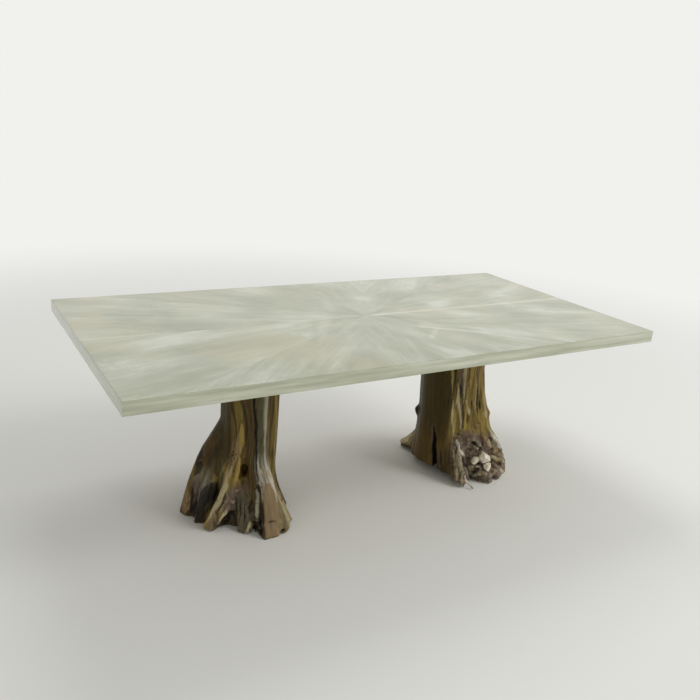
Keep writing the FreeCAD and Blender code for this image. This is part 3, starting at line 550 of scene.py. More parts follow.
# %% Strokes and roots of the left stump
LEFT_LIMBS = (((0.701, 160, 70, 10), (0.697, 178, 36, 11), (0.688, 192, 11, 12)),
              ((0.604, 204, 26, 9), (0.613, 192, 60, 10), (0.622, 176, 92, 10)),
              ((0.520, 148, 198, 24), (0.522, 168, 132, 35), (0.526, 182, 62, 36), (0.530, 196, 22, 22)),
              ((0.788, 150, 128, 28), (0.788, 192, 74, 36), (0.792, 222, 24, 34)))
# Dark strokes: painted shade in clefts and grooves, and a few dark knots. Silver: painted highlights.
LEFT_STROKES = (
    ("sawn", 0, 26, ((0.738, 0.270), (0.746, 0.225), (0.752, 0.150))),
    ("dark", -8, 7, ((0.705, 1), (0.705, 0.725), (0.717, 0.616), (0.723, 0.544), (0.731, 0.400),
                     (0.724, 0.276))),
    ("dark", -9, 13, ((0.724, 0.261), (0.723, 0.197), (0.723, 0.119), (0.721, 0.040))),
    ("brown", 2, 5, ((0.691, 1), (0.691, 0.725), (0.702, 0.618), (0.707, 0.547), (0.712, 0.402),
                     (0.710, 0.268))),
    ("silver", 5, 5, ((0.719, 0.233), (0.717, 0.151), (0.716, 0.084))),
    ("dark", -5, 9, ((0.730, 0.193), (0.731, 0.126), (0.730, 0.069))),
    ("dark", -12, 20, ((0.721, 0.071), (0.720, 0.007))),
    ("brown", -4, 20, ((0.669, 0.385), (0.657, 0.306), (0.658, 0.283))),
    ("brown", -3, 10, ((0.665, 0.268), (0.670, 0.235))),
    ("brown", 3, 9, ((0.669, 1), (0.669, 0.664), (0.686, 0.571), (0.695, 0.490), (0.697, 0.355),
                     (0.696, 0.240))),
    ("gold", 4, 8, ((0.643, 0.396), (0.646, 0.345), (0.646, 0.280))),
    ("dark", -6, 5, ((0.590, 0.392), (0.592, 0.392))),
    ("dark", -6, 6, ((0.619, 0.408), (0.627, 0.404))),
    ("dark", -5, 5, ((0.581, 0.378), (0.586, 0.376))),
    ("dark", -5, 4, ((0.611, 0.384), (0.618, 0.385))),
    ("brown", -3, 14, ((0.597, 0.355), (0.601, 0.338))),
    ("dark", -4, 5, ((0.625, 0.327), (0.626, 0.319))),
    ("dark", -4, 5, ((0.627, 0.300), (0.631, 0.297))),
    ("gold", 7, 22, ((0.600, 0.382), (0.600, 0.324), (0.600, 0.278), (0.598, 0.237), (0.594, 0.184),
                     (0.580, 0.105), (0.566, 0.02))),
    ("tan", 1, 22, ((0.632, 0.520), (0.625, 0.450), (0.606, 0.370), (0.600, 0.290))),
    ("pale", 1, 15, ((0.610, 0.390), (0.602, 0.320), (0.590, 0.224), (0.590, 0.170))),
    ("pale", 2, 13, ((0.603, 0.260), (0.600, 0.200), (0.592, 0.140), (0.578, 0.060))),
    ("pale", 2, 6, ((0.600, 0.285), (0.612, 0.248), (0.609, 0.216))),
    ("dark", -2, 10, ((0.554, 0.349), (0.568, 0.293), (0.563, 0.213), (0.557, 0.146))),
    ("dark", 3, 17, ((0.554, 0.235), (0.555, 0.180), (0.554, 0.116), (0.540, 0.062))),
    ("dark", -3, 7, ((0.594, 0.084), (0.597, 0.029))),
    ("rose", 5, 15, ((0.645, 0.226), (0.647, 0.214))),
    ("rose", 6, 14, ((0.629, 0.157), (0.637, 0.162))),
    ("violet", 0, 36, ((0.628, 0.220), (0.637, 0.162), (0.628, 0.107))),
    ("slate", 0, 40, ((0.676, 0.190), (0.682, 0.096), (0.688, 0.0))),
    ("dark", -12, 16, ((0.604, 0.036), (0.622, 0.083), (0.599, 0.010), (0.601, 0.001))),
    ("rose", 6, 8, ((0.604, 0.046), (0.615, 0.091), (0.622, 0.120))),
    ("dark", -4, 3, ((0.661, 0.161), (0.661, 0.113), (0.662, 0.054))),
    ("dark", -4, 3, ((0.681, 0.150), (0.680, 0.098), (0.679, 0.047))),
    ("dark", -4, 3, ((0.702, 0.166), (0.697, 0.111), (0.694, 0.071))),
    ("dark", -4, 4, ((0.641, 0.188), (0.647, 0.135), (0.646, 0.093))),
    ("dark", -4, 6, ((0.612, 0.217), (0.612, 0.171), (0.599, 0.113))),
    ("pale", 4, 14, ((0.701, 0.061), (0.697, 0.012), (0.686, 0.001))),
    ("dark", -3, 5, ((0.696, 0.033), (0.697, 0.000))),
    ("silver", 2, 13, ((0.774, 1), (0.774, 0.721), (0.776, 0.588), (0.776, 0.541), (0.782, 0.419),
                       (0.776, 0.332))),
    ("slate", -1, 12, ((0.739, 1), (0.739, 0.722), (0.746, 0.591), (0.749, 0.544), (0.752, 0.399),
                       (0.744, 0.335))),
    ("gold", 1, 9, ((0.860, 1), (0.860, 0.694), (0.859, 0.512), (0.862, 0.363), (0.938, 0.222))),
    ("pale", 2, 13, ((0.740, 0.319), (0.766, 0.314), (0.788, 0.289))),
    ("dark", -4, 5, ((0.744, 0.088), (0.752, 0.085), (0.766, 0.081))),
    ("brown", 0, 16, ((0.882, 0.303), (0.950, 0.131), (0.854, 0.103))),
    ("pale", 2, 14, ((0.840, 0.027), (0.833, 0.000))),
    ("dark", -8, 12, ((0.782, 0.035), (0.780, 0.015))),
    ("char", 2, 24, ((0.547, 0.228), (0.533, 0.142), (0.527, 0.071))),
    ("char", 1, 20, ((0.493, 0.139), (0.492, 0.072), (0.528, 0.034))),
    ("violet", 1, 8, ((0.487, 0.196), (0.484, 0.136), (0.488, 0.080))),
    ("violet", 2, 16, ((0.497, 0.300), (0.493, 0.250), (0.488, 0.200), (0.486, 0.150))),
    ("dark", -9, 14, ((0.480, 0.318), (0.478, 0.284), (0.476, 0.237))),
    ("brown", 3, 26, ((0.474, 0.465), (0.480, 0.412), (0.483, 0.358))),
    ("tan", 0, 24, ((0.459, 0.154), (0.471, 0.082), (0.476, 0.013))),
    ("dark", -4, 5, ((0.480, 0.164), (0.485, 0.093), (0.492, 0.024))),
    ("olive", -3, 14, ((0.504, 0.412), (0.543, 0.340), (0.557, 0.273))),
    ("olive", 0, 16, ((0.493, 1), (0.493, 0.679), (0.492, 0.545), (0.514, 0.479), (0.521, 0.392),
                      (0.556, 0.323))),
    ("olive", -2, 10, ((0.566, 1), (0.566, 0.705), (0.590, 0.626), (0.615, 0.537), (0.618, 0.476))),
    ("olive", -3, 9, ((0.641, 1), (0.641, 0.722), (0.666, 0.617), (0.673, 0.547), (0.672, 0.452))),
    ("base", 1, 15, ((0.601, 1), (0.601, 0.712), (0.625, 0.587), (0.644, 0.497), (0.653, 0.426))),
    ("gold", 2, 12, ((0.645, 0.573), (0.648, 0.498), (0.650, 0.413))),
    ("brown", -1, 9, ((0.809, 1), (0.809, 0.711), (0.816, 0.576), (0.827, 0.376))),
    ("pale", 0, 7, ((0.604, 0.026), (0.613, 0.084), (0.622, 0.128))),
    ("violet", 3, 17, ((0.494, 0.225), (0.505, 0.180), (0.512, 0.120))),
    ("dark", -3, 7, ((0.546, 0.235), (0.549, 0.150), (0.541, 0.060))),
    ("dark", -3, 10, ((0.470, 0.400), (0.474, 0.340), (0.470, 0.290))),
    ("gold", 2, 10, ((0.612, 0.440), (0.606, 0.400), (0.604, 0.350))),
)
print("left strokes:", len(LEFT_STROKES))

# %% [markdown]
# The right stump is stouter and smooth on its left, where it has one long split. On its right it is
# ridged and golden, and at the foot it bulges into a gnarled burl with small roots and a twig.

# %% Strokes and roots of the right stump
RIGHT_LIMBS = (((0.690, 196, 52, 16), (0.694, 210, 30, 19)),
               ((0.702, 190, 104, 15), (0.706, 216, 66, 15), (0.709, 232, 34, 16), (0.711, 240, 16, 15)),
               ((0.720, 232, 46, 9), (0.726, 248, 26, 7), (0.733, 272, 7, 6)),
               ((0.772, 208, 46, 10), (0.780, 226, 50, 10), (0.788, 240, 46, 11)),
               ((0.793, 238, 52, 18), (0.798, 252, 38, 19), (0.800, 258, 18, 17)),
               ((0.852, 226, 28, 14), (0.862, 258, 18, 14), (0.870, 282, 13, 12)),
               ((0.857, 172, 322, 8), (0.861, 188, 300, 11), (0.865, 190, 278, 8)),
               ((0.394, 124, 276, 10), (0.397, 138, 258, 14), (0.399, 132, 234, 11)),
               ((0.312, 178, 76, 9), (0.304, 206, 44, 11), (0.298, 238, 20, 11)),
               ((0.322, 186, 30, 10), (0.312, 222, 12, 10)),
               ((0.822, 230, 46, 24), (0.832, 258, 34, 24), (0.838, 274, 18, 20)),
               ((0.850, 240, 50, 20), (0.856, 266, 30, 19), (0.858, 276, 16, 16)))
# Dark strokes: painted shade in the split, the grooves and the burl's hollows.
RIGHT_STROKES = (
    ("dark", -15, 6, ((0.578, 0.335), (0.580, 0.301))),
    ("dark", -16, 14, ((0.582, 0.320), (0.596, 0.181), (0.607, 0.081), (0.614, -0.05))),
    ("dark", -2, 14, ((0.590, 0.279), (0.594, 0.180), (0.599, 0.078))),
    ("dark", -7, 8, ((0.628, 0.192), (0.642, 0.077))),
    ("brown", -1, 12, ((0.532, 0.646), (0.552, 0.448), (0.566, 0.341))),
    ("brown", -1, 9, ((0.575, 1), (0.575, 0.663), (0.600, 0.410))),
    ("pale", 3, 6, ((0.657, 0.526), (0.674, 0.370), (0.688, 0.283))),
    ("gold", 2, 6, ((0.638, 1), (0.638, 0.720), (0.655, 0.537))),
    ("dark", -6, 7, ((0.651, 1), (0.651, 0.721), (0.662, 0.635))),
    ("violet", -5, 16, ((0.689, 1), (0.689, 0.726), (0.693, 0.646), (0.706, 0.539))),
    ("dark", -3, 6, ((0.689, 0.623), (0.699, 0.537))),
    ("dark", -6, 7, ((0.717, 0.489), (0.728, 0.402), (0.736, 0.331))),
    ("dark", -4, 4, ((0.726, 1), (0.726, 0.720), (0.737, 0.615))),
    ("dark", -4, 5, ((0.773, 1), (0.773, 0.705), (0.793, 0.604))),
    ("dark", -4, 4, ((0.761, 0.519), (0.773, 0.441))),
    ("brown", -4, 9, ((0.748, 0.442), (0.755, 0.363))),
    ("dark", -4, 4, ((0.780, 0.484), (0.793, 0.399))),
    ("dark", -4, 4, ((0.824, 0.504), (0.824, 0.438))),
    ("pale", 5, 8, ((0.674, 0.645), (0.686, 0.518), (0.706, 0.428), (0.720, 0.315))),
    ("gold", 3, 6, ((0.671, 0.482), (0.692, 0.311))),
    ("pale", 3, 7, ((0.724, 0.524), (0.754, 0.453), (0.764, 0.419))),
    ("gold", 3, 8, ((0.772, 0.507), (0.815, 0.450), (0.825, 0.357))),
    ("tan", 4, 24, ((0.814, 0.339), (0.816, 0.334))),
    ("pale", 2, 9, ((0.839, 0.567), (0.843, 0.459), (0.845, 0.382))),
    ("gold", 0, 14, ((0.747, 1), (0.747, 0.695), (0.758, 0.585))),
    ("dark", -5, 5, ((0.700, 0.302), (0.737, 0.275))),
    ("violet", 0, 50, ((0.713, 0.263), (0.759, 0.261), (0.786, 0.229), (0.845, 0.153), (0.858, 0.130))),
    ("violet", 0, 45, ((0.717, 0.216), (0.722, 0.149), (0.721, 0.089))),
    ("violet", 0, 60, ((0.769, 0.118), (0.784, 0.091), (0.856, 0.069))),
    ("dark", -16, 15, ((0.769, 0.249), (0.775, 0.242), (0.783, 0.230))),
    ("white", 2, 6, ((0.700, 0.262), (0.705, 0.248), (0.709, 0.203))),
    ("rose", 7, 10, ((0.705, 0.216), (0.705, 0.172), (0.701, 0.095))),
    ("white", 2, 5, ((0.709, 0.215), (0.722, 0.190), (0.732, 0.172))),
    ("dark", -6, 9, ((0.721, 0.175), (0.728, 0.133), (0.758, 0.075))),
    ("dark", -10, 12, ((0.765, 0.053), (0.770, 0.084), (0.777, 0.094))),
    ("pale", 5, 7, ((0.763, 0.065), (0.767, 0.098), (0.780, 0.112))),
    ("dark", -7, 9, ((0.769, 0.126), (0.776, 0.125), (0.786, 0.102))),
    ("pale", 5, 9, ((0.846, 0.145), (0.859, 0.113), (0.876, 0.082))),
    ("tan", 2, 9, ((0.829, 0.274), (0.839, 0.225), (0.855, 0.174), (0.863, 0.132))),
    ("brown", -4, 9, ((0.846, 0.110), (0.855, 0.088), (0.864, 0.059))),
    ("white", 4, 7, ((0.844, 0.279), (0.858, 0.249), (0.860, 0.214))),
    ("dark", -4, 5, ((0.838, 0.258), (0.845, 0.213))),
    ("pale", 3, 8, ((0.838, 0.246), (0.842, 0.190))),
    ("pale", 2, 12, ((0.294, 0.023), (0.301, 0.076), (0.294, 0.108))),
    ("brown", -3, 8, ((0.308, 0.005), (0.326, 0.040))),
    ("rose", 3, 7, ((0.409, 0.148), (0.428, 0.099))),
    ("dark", -6, 7, ((0.322, 0.107), (0.331, 0.055))),
    ("rose", 2, 16, ((0.692, 0.220), (0.702, 0.140), (0.709, 0.080), (0.713, 0.010))),
    ("pale", 1, 7, ((0.688, 0.200), (0.694, 0.110), (0.696, 0.030))),
    ("white", 0, 9, ((0.718, 0.070), (0.726, 0.035), (0.733, 0.0))),
    ("pale", 0, 12, ((0.772, 0.060), (0.788, 0.070))),
    ("pale", 1, 12, ((0.852, 0.050), (0.870, 0.020))),
    ("white", 2, 8, ((0.852, 0.300), (0.860, 0.240), (0.866, 0.170))),
    ("pale", 2, 7, ((0.700, 1), (0.702, 0.700), (0.712, 0.560), (0.716, 0.440))),
    ("dark", -6, 5, ((0.708, 0.560), (0.716, 0.450), (0.722, 0.350))),
    ("gold", 3, 9, ((0.736, 0.560), (0.742, 0.450), (0.744, 0.330))),
    ("pale", 3, 6, ((0.786, 0.640), (0.796, 0.520), (0.800, 0.430))),
    ("dark", -5, 5, ((0.806, 0.620), (0.812, 0.520), (0.818, 0.400))),
    ("gold", 3, 8, ((0.826, 1), (0.826, 0.700), (0.834, 0.560), (0.838, 0.430))),
    ("dark", -9, 13, ((0.600, 0.180), (0.610, 0.060), (0.613, -0.06))),
    ("dark", 0, 17, ((0.394, 0.400), (0.398, 0.350), (0.399, 0.310))),
    ("pale", 0, 26, ((0.292, 0.020), (0.302, 0.060), (0.316, 0.115))),
    ("pale", 2, 5, ((0.709, 0.203), (0.713, 0.162), (0.708, 0.108), (0.706, 0.053), (0.706, 0.010))),
)
print("right strokes:", len(RIGHT_STROKES))

# %% [markdown]
# A root's colours come from weather, soil and the wax on it: honey and straw where the wood was
# scraped, olive and umber where the old bark line was, violet grey where it lay wet, and a flesh tone
# on faces that were sawn not long ago. Some stains are painted light: the near black is painted shade
# in the clefts and grooves and also makes a few dark knots, the olive is partly painted shade on the
# stumps' left sides, and the silver grey makes painted highlights.

# %% Stains
STAINS = {"gold": "#A48B47", "pale": "#BFB089", "dark": "#1A1309", "violet": "#6A5A4D", "tan": "#8D7350",
          "char": "#1E1815", "sawn": "#8A7556", "brown": "#4D3914", "silver": "#B3AD93",
          "white": "#DDD6C4", "rose": "#86705F", "slate": "#59543A", "ash": "#94836F",
          "olive": "#3A310B", "base": "#776429", "deep": "#403110"}
STAINS = {name: np.array(linear(code)[:3]) for name, code in STAINS.items()}
print("stains:", len(STAINS))

# %% [markdown]
# Washes are broad stains laid on before the strokes: a colour, from one bearing to another, from
# one share of the height to another, and how much it covers. Some are painted light: the olive on
# each stump's left side is partly painted shade, the dark ones near the floor are painted shade, and
# the silver ones and the cream white band above the left stump's sawn face are painted highlights.

# %% Washes
LEFT_WASHES = (("olive", 0.44, 0.600, 0.30, 1.1, 0.85), ("gold", 0.590, 0.660, 0.26, 0.66, 0.40),
               ("brown", 0.655, 0.735, 0.22, 1.1, 0.65), ("olive", 0.68, 0.735, 0.30, 1.1, 0.45),
               ("slate", 0.730, 0.765, 0.34, 1.1, 0.70), ("silver", 0.765, 0.795, 0.30, 1.1, 0.45),
               ("gold", 0.80, 0.92, 0.10, 1.1, 0.45), ("white", 0.728, 0.80, 0.20, 0.38, 0.84),
               ("brown", 0.43, 0.53, 0.30, 0.52, 0.70), ("violet", 0.615, 0.70, 0.0, 0.25, 0.65),
               ("char", 0.485, 0.556, 0.0, 0.25, 0.92), ("silver", 0.484, 0.540, 0.205, 0.265, 0.62),
               ("gold", 0.558, 0.608, 0.0, 0.34, 0.85), ("pale", 0.775, 0.830, 0.0, 0.17, 0.60),
               ("pale", 0.572, 0.600, 0.02, 0.28, 0.50), ("dark", 0.605, 0.655, 0.0, 0.10, 0.70),
               ("dark", 0.705, 0.728, 0.0, 0.14, 0.80), ("brown", 0.42, 0.475, 0.0, 0.24, 0.55),
               ("pale", 0.83, 0.88, 0.0, 0.14, 0.55), ("olive", 0.0, 0.16, 0.3, 1.1, 0.5),
               ("violet", 0.93, 1.0, 0.0, 0.2, 0.5), ("char", 0.25, 0.33, 0.0, 0.2, 0.5))
RIGHT_WASHES = (("olive", 0.34, 0.655, 0.26, 1.1, 0.90), ("brown", 0.38, 0.665, 0.0, 0.34, 0.70),
                ("gold", 0.665, 0.93, 0.28, 1.1, 0.62), ("violet", 0.68, 0.90, 0.0, 0.27, 0.75),
                ("pale", 0.86, 0.93, 0.0, 0.40, 0.60), ("tan", 0.26, 0.35, 0.0, 0.18, 0.8),
                ("pale", 0.27, 0.33, 0.04, 0.16, 0.5), ("brown", 0.0, 0.14, 0.2, 1.1, 0.5),
                ("violet", 0.10, 0.22, 0.0, 0.2, 0.5), ("rose", 0.755, 0.885, 0.0, 0.15, 0.55),
                ("ash", 0.685, 0.80, 0.14, 0.26, 0.55), ("ash", 0.80, 0.90, 0.0, 0.22, 0.50))
print("washes:", len(LEFT_WASHES), len(RIGHT_WASHES))

# %% [markdown]
# Some root ends were cut off with a saw. A sawn face is a plane: its bearing, how far it leans back
# as a share of a turn, and how far out it lies, how far aside and how wide it is, as shares of the
# roots' reach. The CAD stumps have these faces, so the points that lie on them can be found.

# %% Sawn faces
SAWN_FACES = {
    "left": ((0.744, 0.055, 0.955, 0.08, 0.50), (0.556, 0.012, 0.870, -0.37, 0.50),
             (0.600, 0.020, 0.860, -0.10, 0.40), (0.865, 0.030, 0.800, 0.00, 0.34),
             (0.225, 0.040, 0.740, 0.00, 0.34)),
    "right": ((0.890, 0.020, 0.985, 0.00, 0.30), (0.300, 0.020, 0.850, 0.00, 0.26),
              (0.130, 0.035, 0.690, 0.00, 0.34))}
SAWN_TOP, FACE_GAP, FACE_TURN = 0.32, 0.003, 0.985


def sawn_flats(side, points, normals):
    """For each sawn face, which points lie on it, one point of its plane, and its normal."""
    axis = np.array(TRUNKS[side]["axis"] + (0.0,))
    reach = TRUNKS[side]["reach"]
    flats = []
    for bearing, lean, distance, aside, width in SAWN_FACES[side]:
        turn, tip = 2 * math.pi * bearing, 2 * math.pi * lean
        ahead = np.array((math.cos(turn), math.sin(turn), 0))
        sideways = np.array((-math.sin(turn), math.cos(turn), 0))
        normal = ahead * math.cos(tip) + np.array((0, 0, math.sin(tip)))
        middle = axis + ahead * reach * distance
        near = (np.abs((points - middle) @ normal) < FACE_GAP) & (normals @ normal > FACE_TURN)
        near &= points[:, 2] < SAWN_TOP * TRUNK_HEIGHT
        near &= np.abs((points - axis) @ sideways - reach * aside) < reach * width / 2
        flats.append((near, middle, normal))
    return flats


print("sawn faces:", {side: len(faces) for side, faces in SAWN_FACES.items()})

# %% [markdown]
# Every point gets its bearing, its distance from the axis, its height, and a place in the grain,
# which runs down the trunk and out along each root. Waves are measured in that grain, each with its
# sizes in metres and a number of its own that picks its part of the noise.

# %% Where a point lies in the wood
WAVES = {"swell": ((0.07, 0.07, 0.30), 1), "groove": ((0.045, 0.045, 0.50), 2),
         "crease": ((0.020, 0.020, 0.30), 3), "lump": ((0.028, 0.028, 0.022), 4),
         "knob": ((0.013, 0.013, 0.013), 5), "streak": ((0.011, 0.011, 0.20), 6),
         "patch": ((0.05, 0.05, 0.22), 7), "hair": ((0.006, 0.006, 0.12), 8),
         "drift": ((0.022, 0.022, 0.050), 9)}
GRAIN_SLOPE = 0.6


def place_in_wood(side, points):
    """Each point's bearing, distance from the axis, height, and place in the grain."""
    x, y = TRUNKS[side]["axis"]
    radius = TRUNKS[side]["radius"]
    turn = np.arctan2(points[:, 1] - y, points[:, 0] - x)
    distance, height = np.hypot(points[:, 0] - x, points[:, 1] - y), points[:, 2]
    run = height - GRAIN_SLOPE * (distance - radius)
    grain = np.stack((radius * np.cos(turn), radius * np.sin(turn), run), 1)
    return turn / (2 * math.pi) % 1, distance, height, grain


print("waves:", ", ".join(WAVES))

# %% [markdown]
# The wood's own relief comes before any stroke. Broad swells follow the grain, and so do flutes and
# creases, which are cut where a stretched wave passes through nought. The burl has lumps and knobs.
# Depths are in metres, and a groove's width is a share of its wave's height.

# %% Relief of the grain and the burl
SWELL_DEPTH, GROOVE_DEPTH, CREASE_DEPTH = 0.0030, 0.0024, 0.0011
LUMP_DEPTH, KNOB_DEPTH = 0.0075, 0.0040
GROOVE_WIDTH, CREASE_WIDTH = 0.09, 0.10


def grown_relief(points, grain, fluting, burl):
    """How far each point moves out, and how deep it lies in a groove."""
    groove = np.exp(-(waves(grain, *WAVES["groove"]) / GROOVE_WIDTH) ** 2)
    crease = np.exp(-(waves(grain, *WAVES["crease"]) / CREASE_WIDTH) ** 2)
    push = fluting * (SWELL_DEPTH * waves(grain, *WAVES["swell"]) - GROOVE_DEPTH * groove
                      - CREASE_DEPTH * crease)
    push += burl * (LUMP_DEPTH * waves(points, *WAVES["lump"])
                    + KNOB_DEPTH * waves(points, *WAVES["knob"]))
    return push, np.maximum(groove, 0.8 * crease)


print("deepest flute in mm:", 1000 * GROOVE_DEPTH)

# %% [markdown]
# The wood's own two browns and the washes over them make the ground colour. Streaks and patches
# break up every edge, as a stain does when it soaks into real wood.

# %% Ground colour
SOFT_BEARING, SOFT_HEIGHT = 0.03, 0.08


def washed(washes, bearing, height, streak, patch):
    """The wood's own colour with the washes over it."""
    shade = np.clip(0.5 + 0.8 * patch + 0.5 * streak, 0, 1)[:, None]
    paint = STAINS["deep"] + shade * (STAINS["base"] - STAINS["deep"])
    for kind, low, high, bottom, top, cover in washes:
        mask = between(bearing, low, high, SOFT_BEARING)
        mask = mask * between(height / TRUNK_HEIGHT, bottom, top, SOFT_HEIGHT)
        mask = cover * np.clip(mask * (1.0 + 1.1 * streak + 0.5 * patch), 0, 1)
        paint = paint + mask[:, None] * (STAINS[kind] - paint)
    return paint


print("ground colours:", STAINS["deep"].round(3), "to", STAINS["base"].round(3))

# %% [markdown]
# Then the strokes, one after the other. A slow drift bends them a few millimetres off their line,
# so that none looks ruled, and fine fibres fray their edges.

# %% Strokes of the gouge
DRIFT = 0.004
STROKE_COVER = 0.8


def gouged(points, place, strokes, push, paint, streak):
    """The push and the stain after all strokes, and where dark strokes lie."""
    bearing, distance, height, grain = place
    hair = waves(grain, *WAVES["hair"])
    drift = DRIFT * waves(points, *WAVES["drift"])
    marks = np.zeros(len(points))
    for kind, depth, half_width, path in strokes:
        mask = stroke_mask(bearing + drift / (2 * math.pi * distance), distance, height + drift, path,
                           half_width / 1000)
        push = push + mask ** 2 * depth / 1000
        mask = STROKE_COVER * np.clip(1.6 * mask * (1 + 1.5 * streak + 1.0 * hair), 0, 1)
        paint = paint + mask[:, None] * (STAINS[kind] - paint)
        if kind == "dark":
            marks = np.maximum(marks, mask)
    return push, paint, marks


print("strokes drift by mm:", 1000 * DRIFT)

# %% [markdown]
# Hollows are painted darker, as painted shade, and crests paler, as painted highlights. How hollow a
# place is shows in how far its neighbours' mean lies out from it. It is measured twice, close by and
# further off, each time as rounds of relaxing and a weight.

# %% Painted shade in hollows and painted highlights on crests
REACHES = ((2, 1.0), (10, 0.5))
HOLLOW_GAIN, CREST_GAIN = 1.4, 0.9
HOLLOW_SHADE = 0.60


def painted_shade_and_highlights(mesh, points, paint, sawn, burl):
    """The colour with painted shade in hollows and painted highlights on crests, but even on sawn faces.
    """
    normals = points_of(mesh, "normal")
    hollow = np.zeros(len(points))
    for rounds, weight in REACHES:
        inward = relaxed(mesh, points, rounds) - points
        hollow += weight * np.einsum("ij,ij->i", inward, normals) / VOXEL
    # painted shade in the hollows and painted highlights on the crests, none on sawn faces
    painted_hollow_shade = np.clip(hollow * HOLLOW_GAIN, 0, 1)[:, None] * (1 - sawn)
    painted_crest_highlight = np.clip(-hollow * CREST_GAIN, 0, 1)[:, None] * (1 - sawn)
    paint = paint * (1 - HOLLOW_SHADE * painted_hollow_shade)
    return paint + (0.2 + 0.7 * burl[:, None]) * painted_crest_highlight * (STAINS["silver"] - paint)


print("rounds of relaxing for hollows:", [rounds for rounds, _ in REACHES])

# %% [markdown]
# This is the whole carving in its order. The saw's flat faces are found before the smoothing and pressed
# flat again at the end, and nothing sinks into the floor or rises over the top. The skin keeps its
# stain with the painted shade and highlights in it, its grain and the kind of each face as
# attributes, which the material reads.

# %% Carve a stump
SMOOTH_ROUNDS = 14
TOP_MARGIN, RIM = 0.012, 0.02
GROOVE_PAINTED_SHADE, WORN_SHARE = 0.45, 0.8


def carved(side, limbs, washes, strokes, smooth_side, gnarl):
    """The finished root skin, with its stain and its grain kept as attributes."""
    mesh = melted(side, limbs)
    points = points_of(mesh)
    flats = sawn_flats(side, points, points_of(mesh, "normal"))
    sawn = np.any([near for near, _, _ in flats], axis=0).astype(float)[:, None]
    points = relaxed(mesh, points, SMOOTH_ROUNDS)
    put_points(mesh, points)
    normals = points_of(mesh, "normal")

    place = bearing, distance, height, grain = place_in_wood(side, points)
    fluting = 1 - WORN_SHARE * smooth_side(bearing, height)
    burl = gnarl(bearing, height)
    push, furrow = grown_relief(points, grain, fluting, burl)
    streak, patch = waves(grain, *WAVES["streak"]), waves(grain, *WAVES["patch"])
    paint = washed(washes, bearing, height, streak, patch)
    # painted shade: darker in the flutes and creases of the grain
    paint = paint * (1 - GROOVE_PAINTED_SHADE * fluting * furrow)[:, None]
    push, paint, marks = gouged(points, place, strokes, push, paint, streak)

    cut = relaxed(mesh, sawn, 1)
    top = np.clip((TRUNK_HEIGHT - height) / TOP_MARGIN, 0, 1)
    push = push * (1 - cut[:, 0]) * np.where(distance < TRUNKS[side]["radius"] - RIM, top, 1)
    points = points + normals * push[:, None]
    for near, middle, normal in flats:
        points[near] -= np.outer((points[near] - middle) @ normal, normal)
    points[:, 2] = np.clip(points[:, 2], 0.0, TRUNK_HEIGHT)
    put_points(mesh, points)

    paint = painted_shade_and_highlights(mesh, points, paint, sawn, burl)
    fresh = STAINS["sawn"] * (0.9 + 0.25 * patch[:, None])
    paint = paint + cut * (1 - marks[:, None]) * (fresh - paint)
    # this colour holds the painted shade and painted highlights along with the stain
    stain_and_painted_light = mesh.color_attributes.new("stain_and_painted_light", "FLOAT_COLOR", "POINT")
    stain_and_painted_light.data.foreach_set("color", np.hstack((np.clip(paint, 0, 1), np.ones((len(points), 1)))).ravel())
    face = np.hstack((cut, burl[:, None], fluting[:, None]))
    for name, values in (("grain", grain), ("face", face)):
        layer = mesh.attributes.new(name, "FLOAT_VECTOR", "POINT")
        layer.data.foreach_set("vector", values.ravel())
    return mesh


print("rounds of smoothing:", SMOOTH_ROUNDS)

# %% [markdown]
# The finish of the roots is a hand-rubbed wax and oil on weathered hardwood. The eye sees the stain
# left by the carving, with its painted shade and highlights, darker and lighter fibres a few
# millimetres wide that follow the grain, drying checks, and a soft shine that is broken by the
# fibres, but plain dull wood where the saw passed. The burl's bark is rough, with lumps about 8 mm
# across.

# %% Waxed root wood
root_wood, tree = new_graph("waxed_weathered_root_wood")
stain_and_painted_light = add(tree, "ShaderNodeAttribute", attribute_name="stain_and_painted_light").outputs["Color"]
grain = add(tree, "ShaderNodeAttribute", attribute_name="grain").outputs["Vector"]
face = add(tree, "ShaderNodeSeparateXYZ",
           {0: add(tree, "ShaderNodeAttribute", attribute_name="face").outputs["Vector"]})
sawn, gnarled = face.outputs["X"], face.outputs["Y"]
place = add(tree, "ShaderNodeTexCoord").outputs["Object"]
layers = []
for across, along, detail in ((3.2, 70, 4), (9, 160, 3), (15, 130, 2)):
    spread = add(tree, "ShaderNodeVectorMath", {0: grain, 1: repeats(across, across, along)},
                 operation="MULTIPLY")
    layers.append(add(tree, "ShaderNodeTexNoise", {"Vector": spread, "Scale": 1.0, "Detail": detail}))
fibres, streaks, splits = layers
tone = add(tree, "ShaderNodeMath", {0: fibres, 1: streaks}, operation="ADD")
value = add(tree, "ShaderNodeMapRange", {"Value": tone, "From Min": 0.7, "From Max": 1.3,
                                         "To Min": 0.72, "To Max": 1.25})
check = add(tree, "ShaderNodeMath", {0: splits, 1: 0.5}, operation="SUBTRACT")
check = add(tree, "ShaderNodeMath", {0: check}, operation="ABSOLUTE")
check = add(tree, "ShaderNodeMapRange", {"Value": check, "From Min": 0.0, "From Max": 0.014})
open_wood = add(tree, "ShaderNodeMath", {0: check, 1: sawn}, operation="MAXIMUM")
darken = add(tree, "ShaderNodeMapRange", {"Value": open_wood, "To Min": 0.45, "To Max": 1.0})
value = add(tree, "ShaderNodeMath", {0: value, 1: darken}, operation="MULTIPLY")
colour = add(tree, "ShaderNodeVectorMath", {0: stain_and_painted_light, "Scale": value}, operation="SCALE")
lumps = add(tree, "ShaderNodeTexNoise", {"Vector": place, "Scale": 130.0, "Detail": 4})
lumps = add(tree, "ShaderNodeMath", {0: lumps, 1: gnarled}, operation="MULTIPLY")
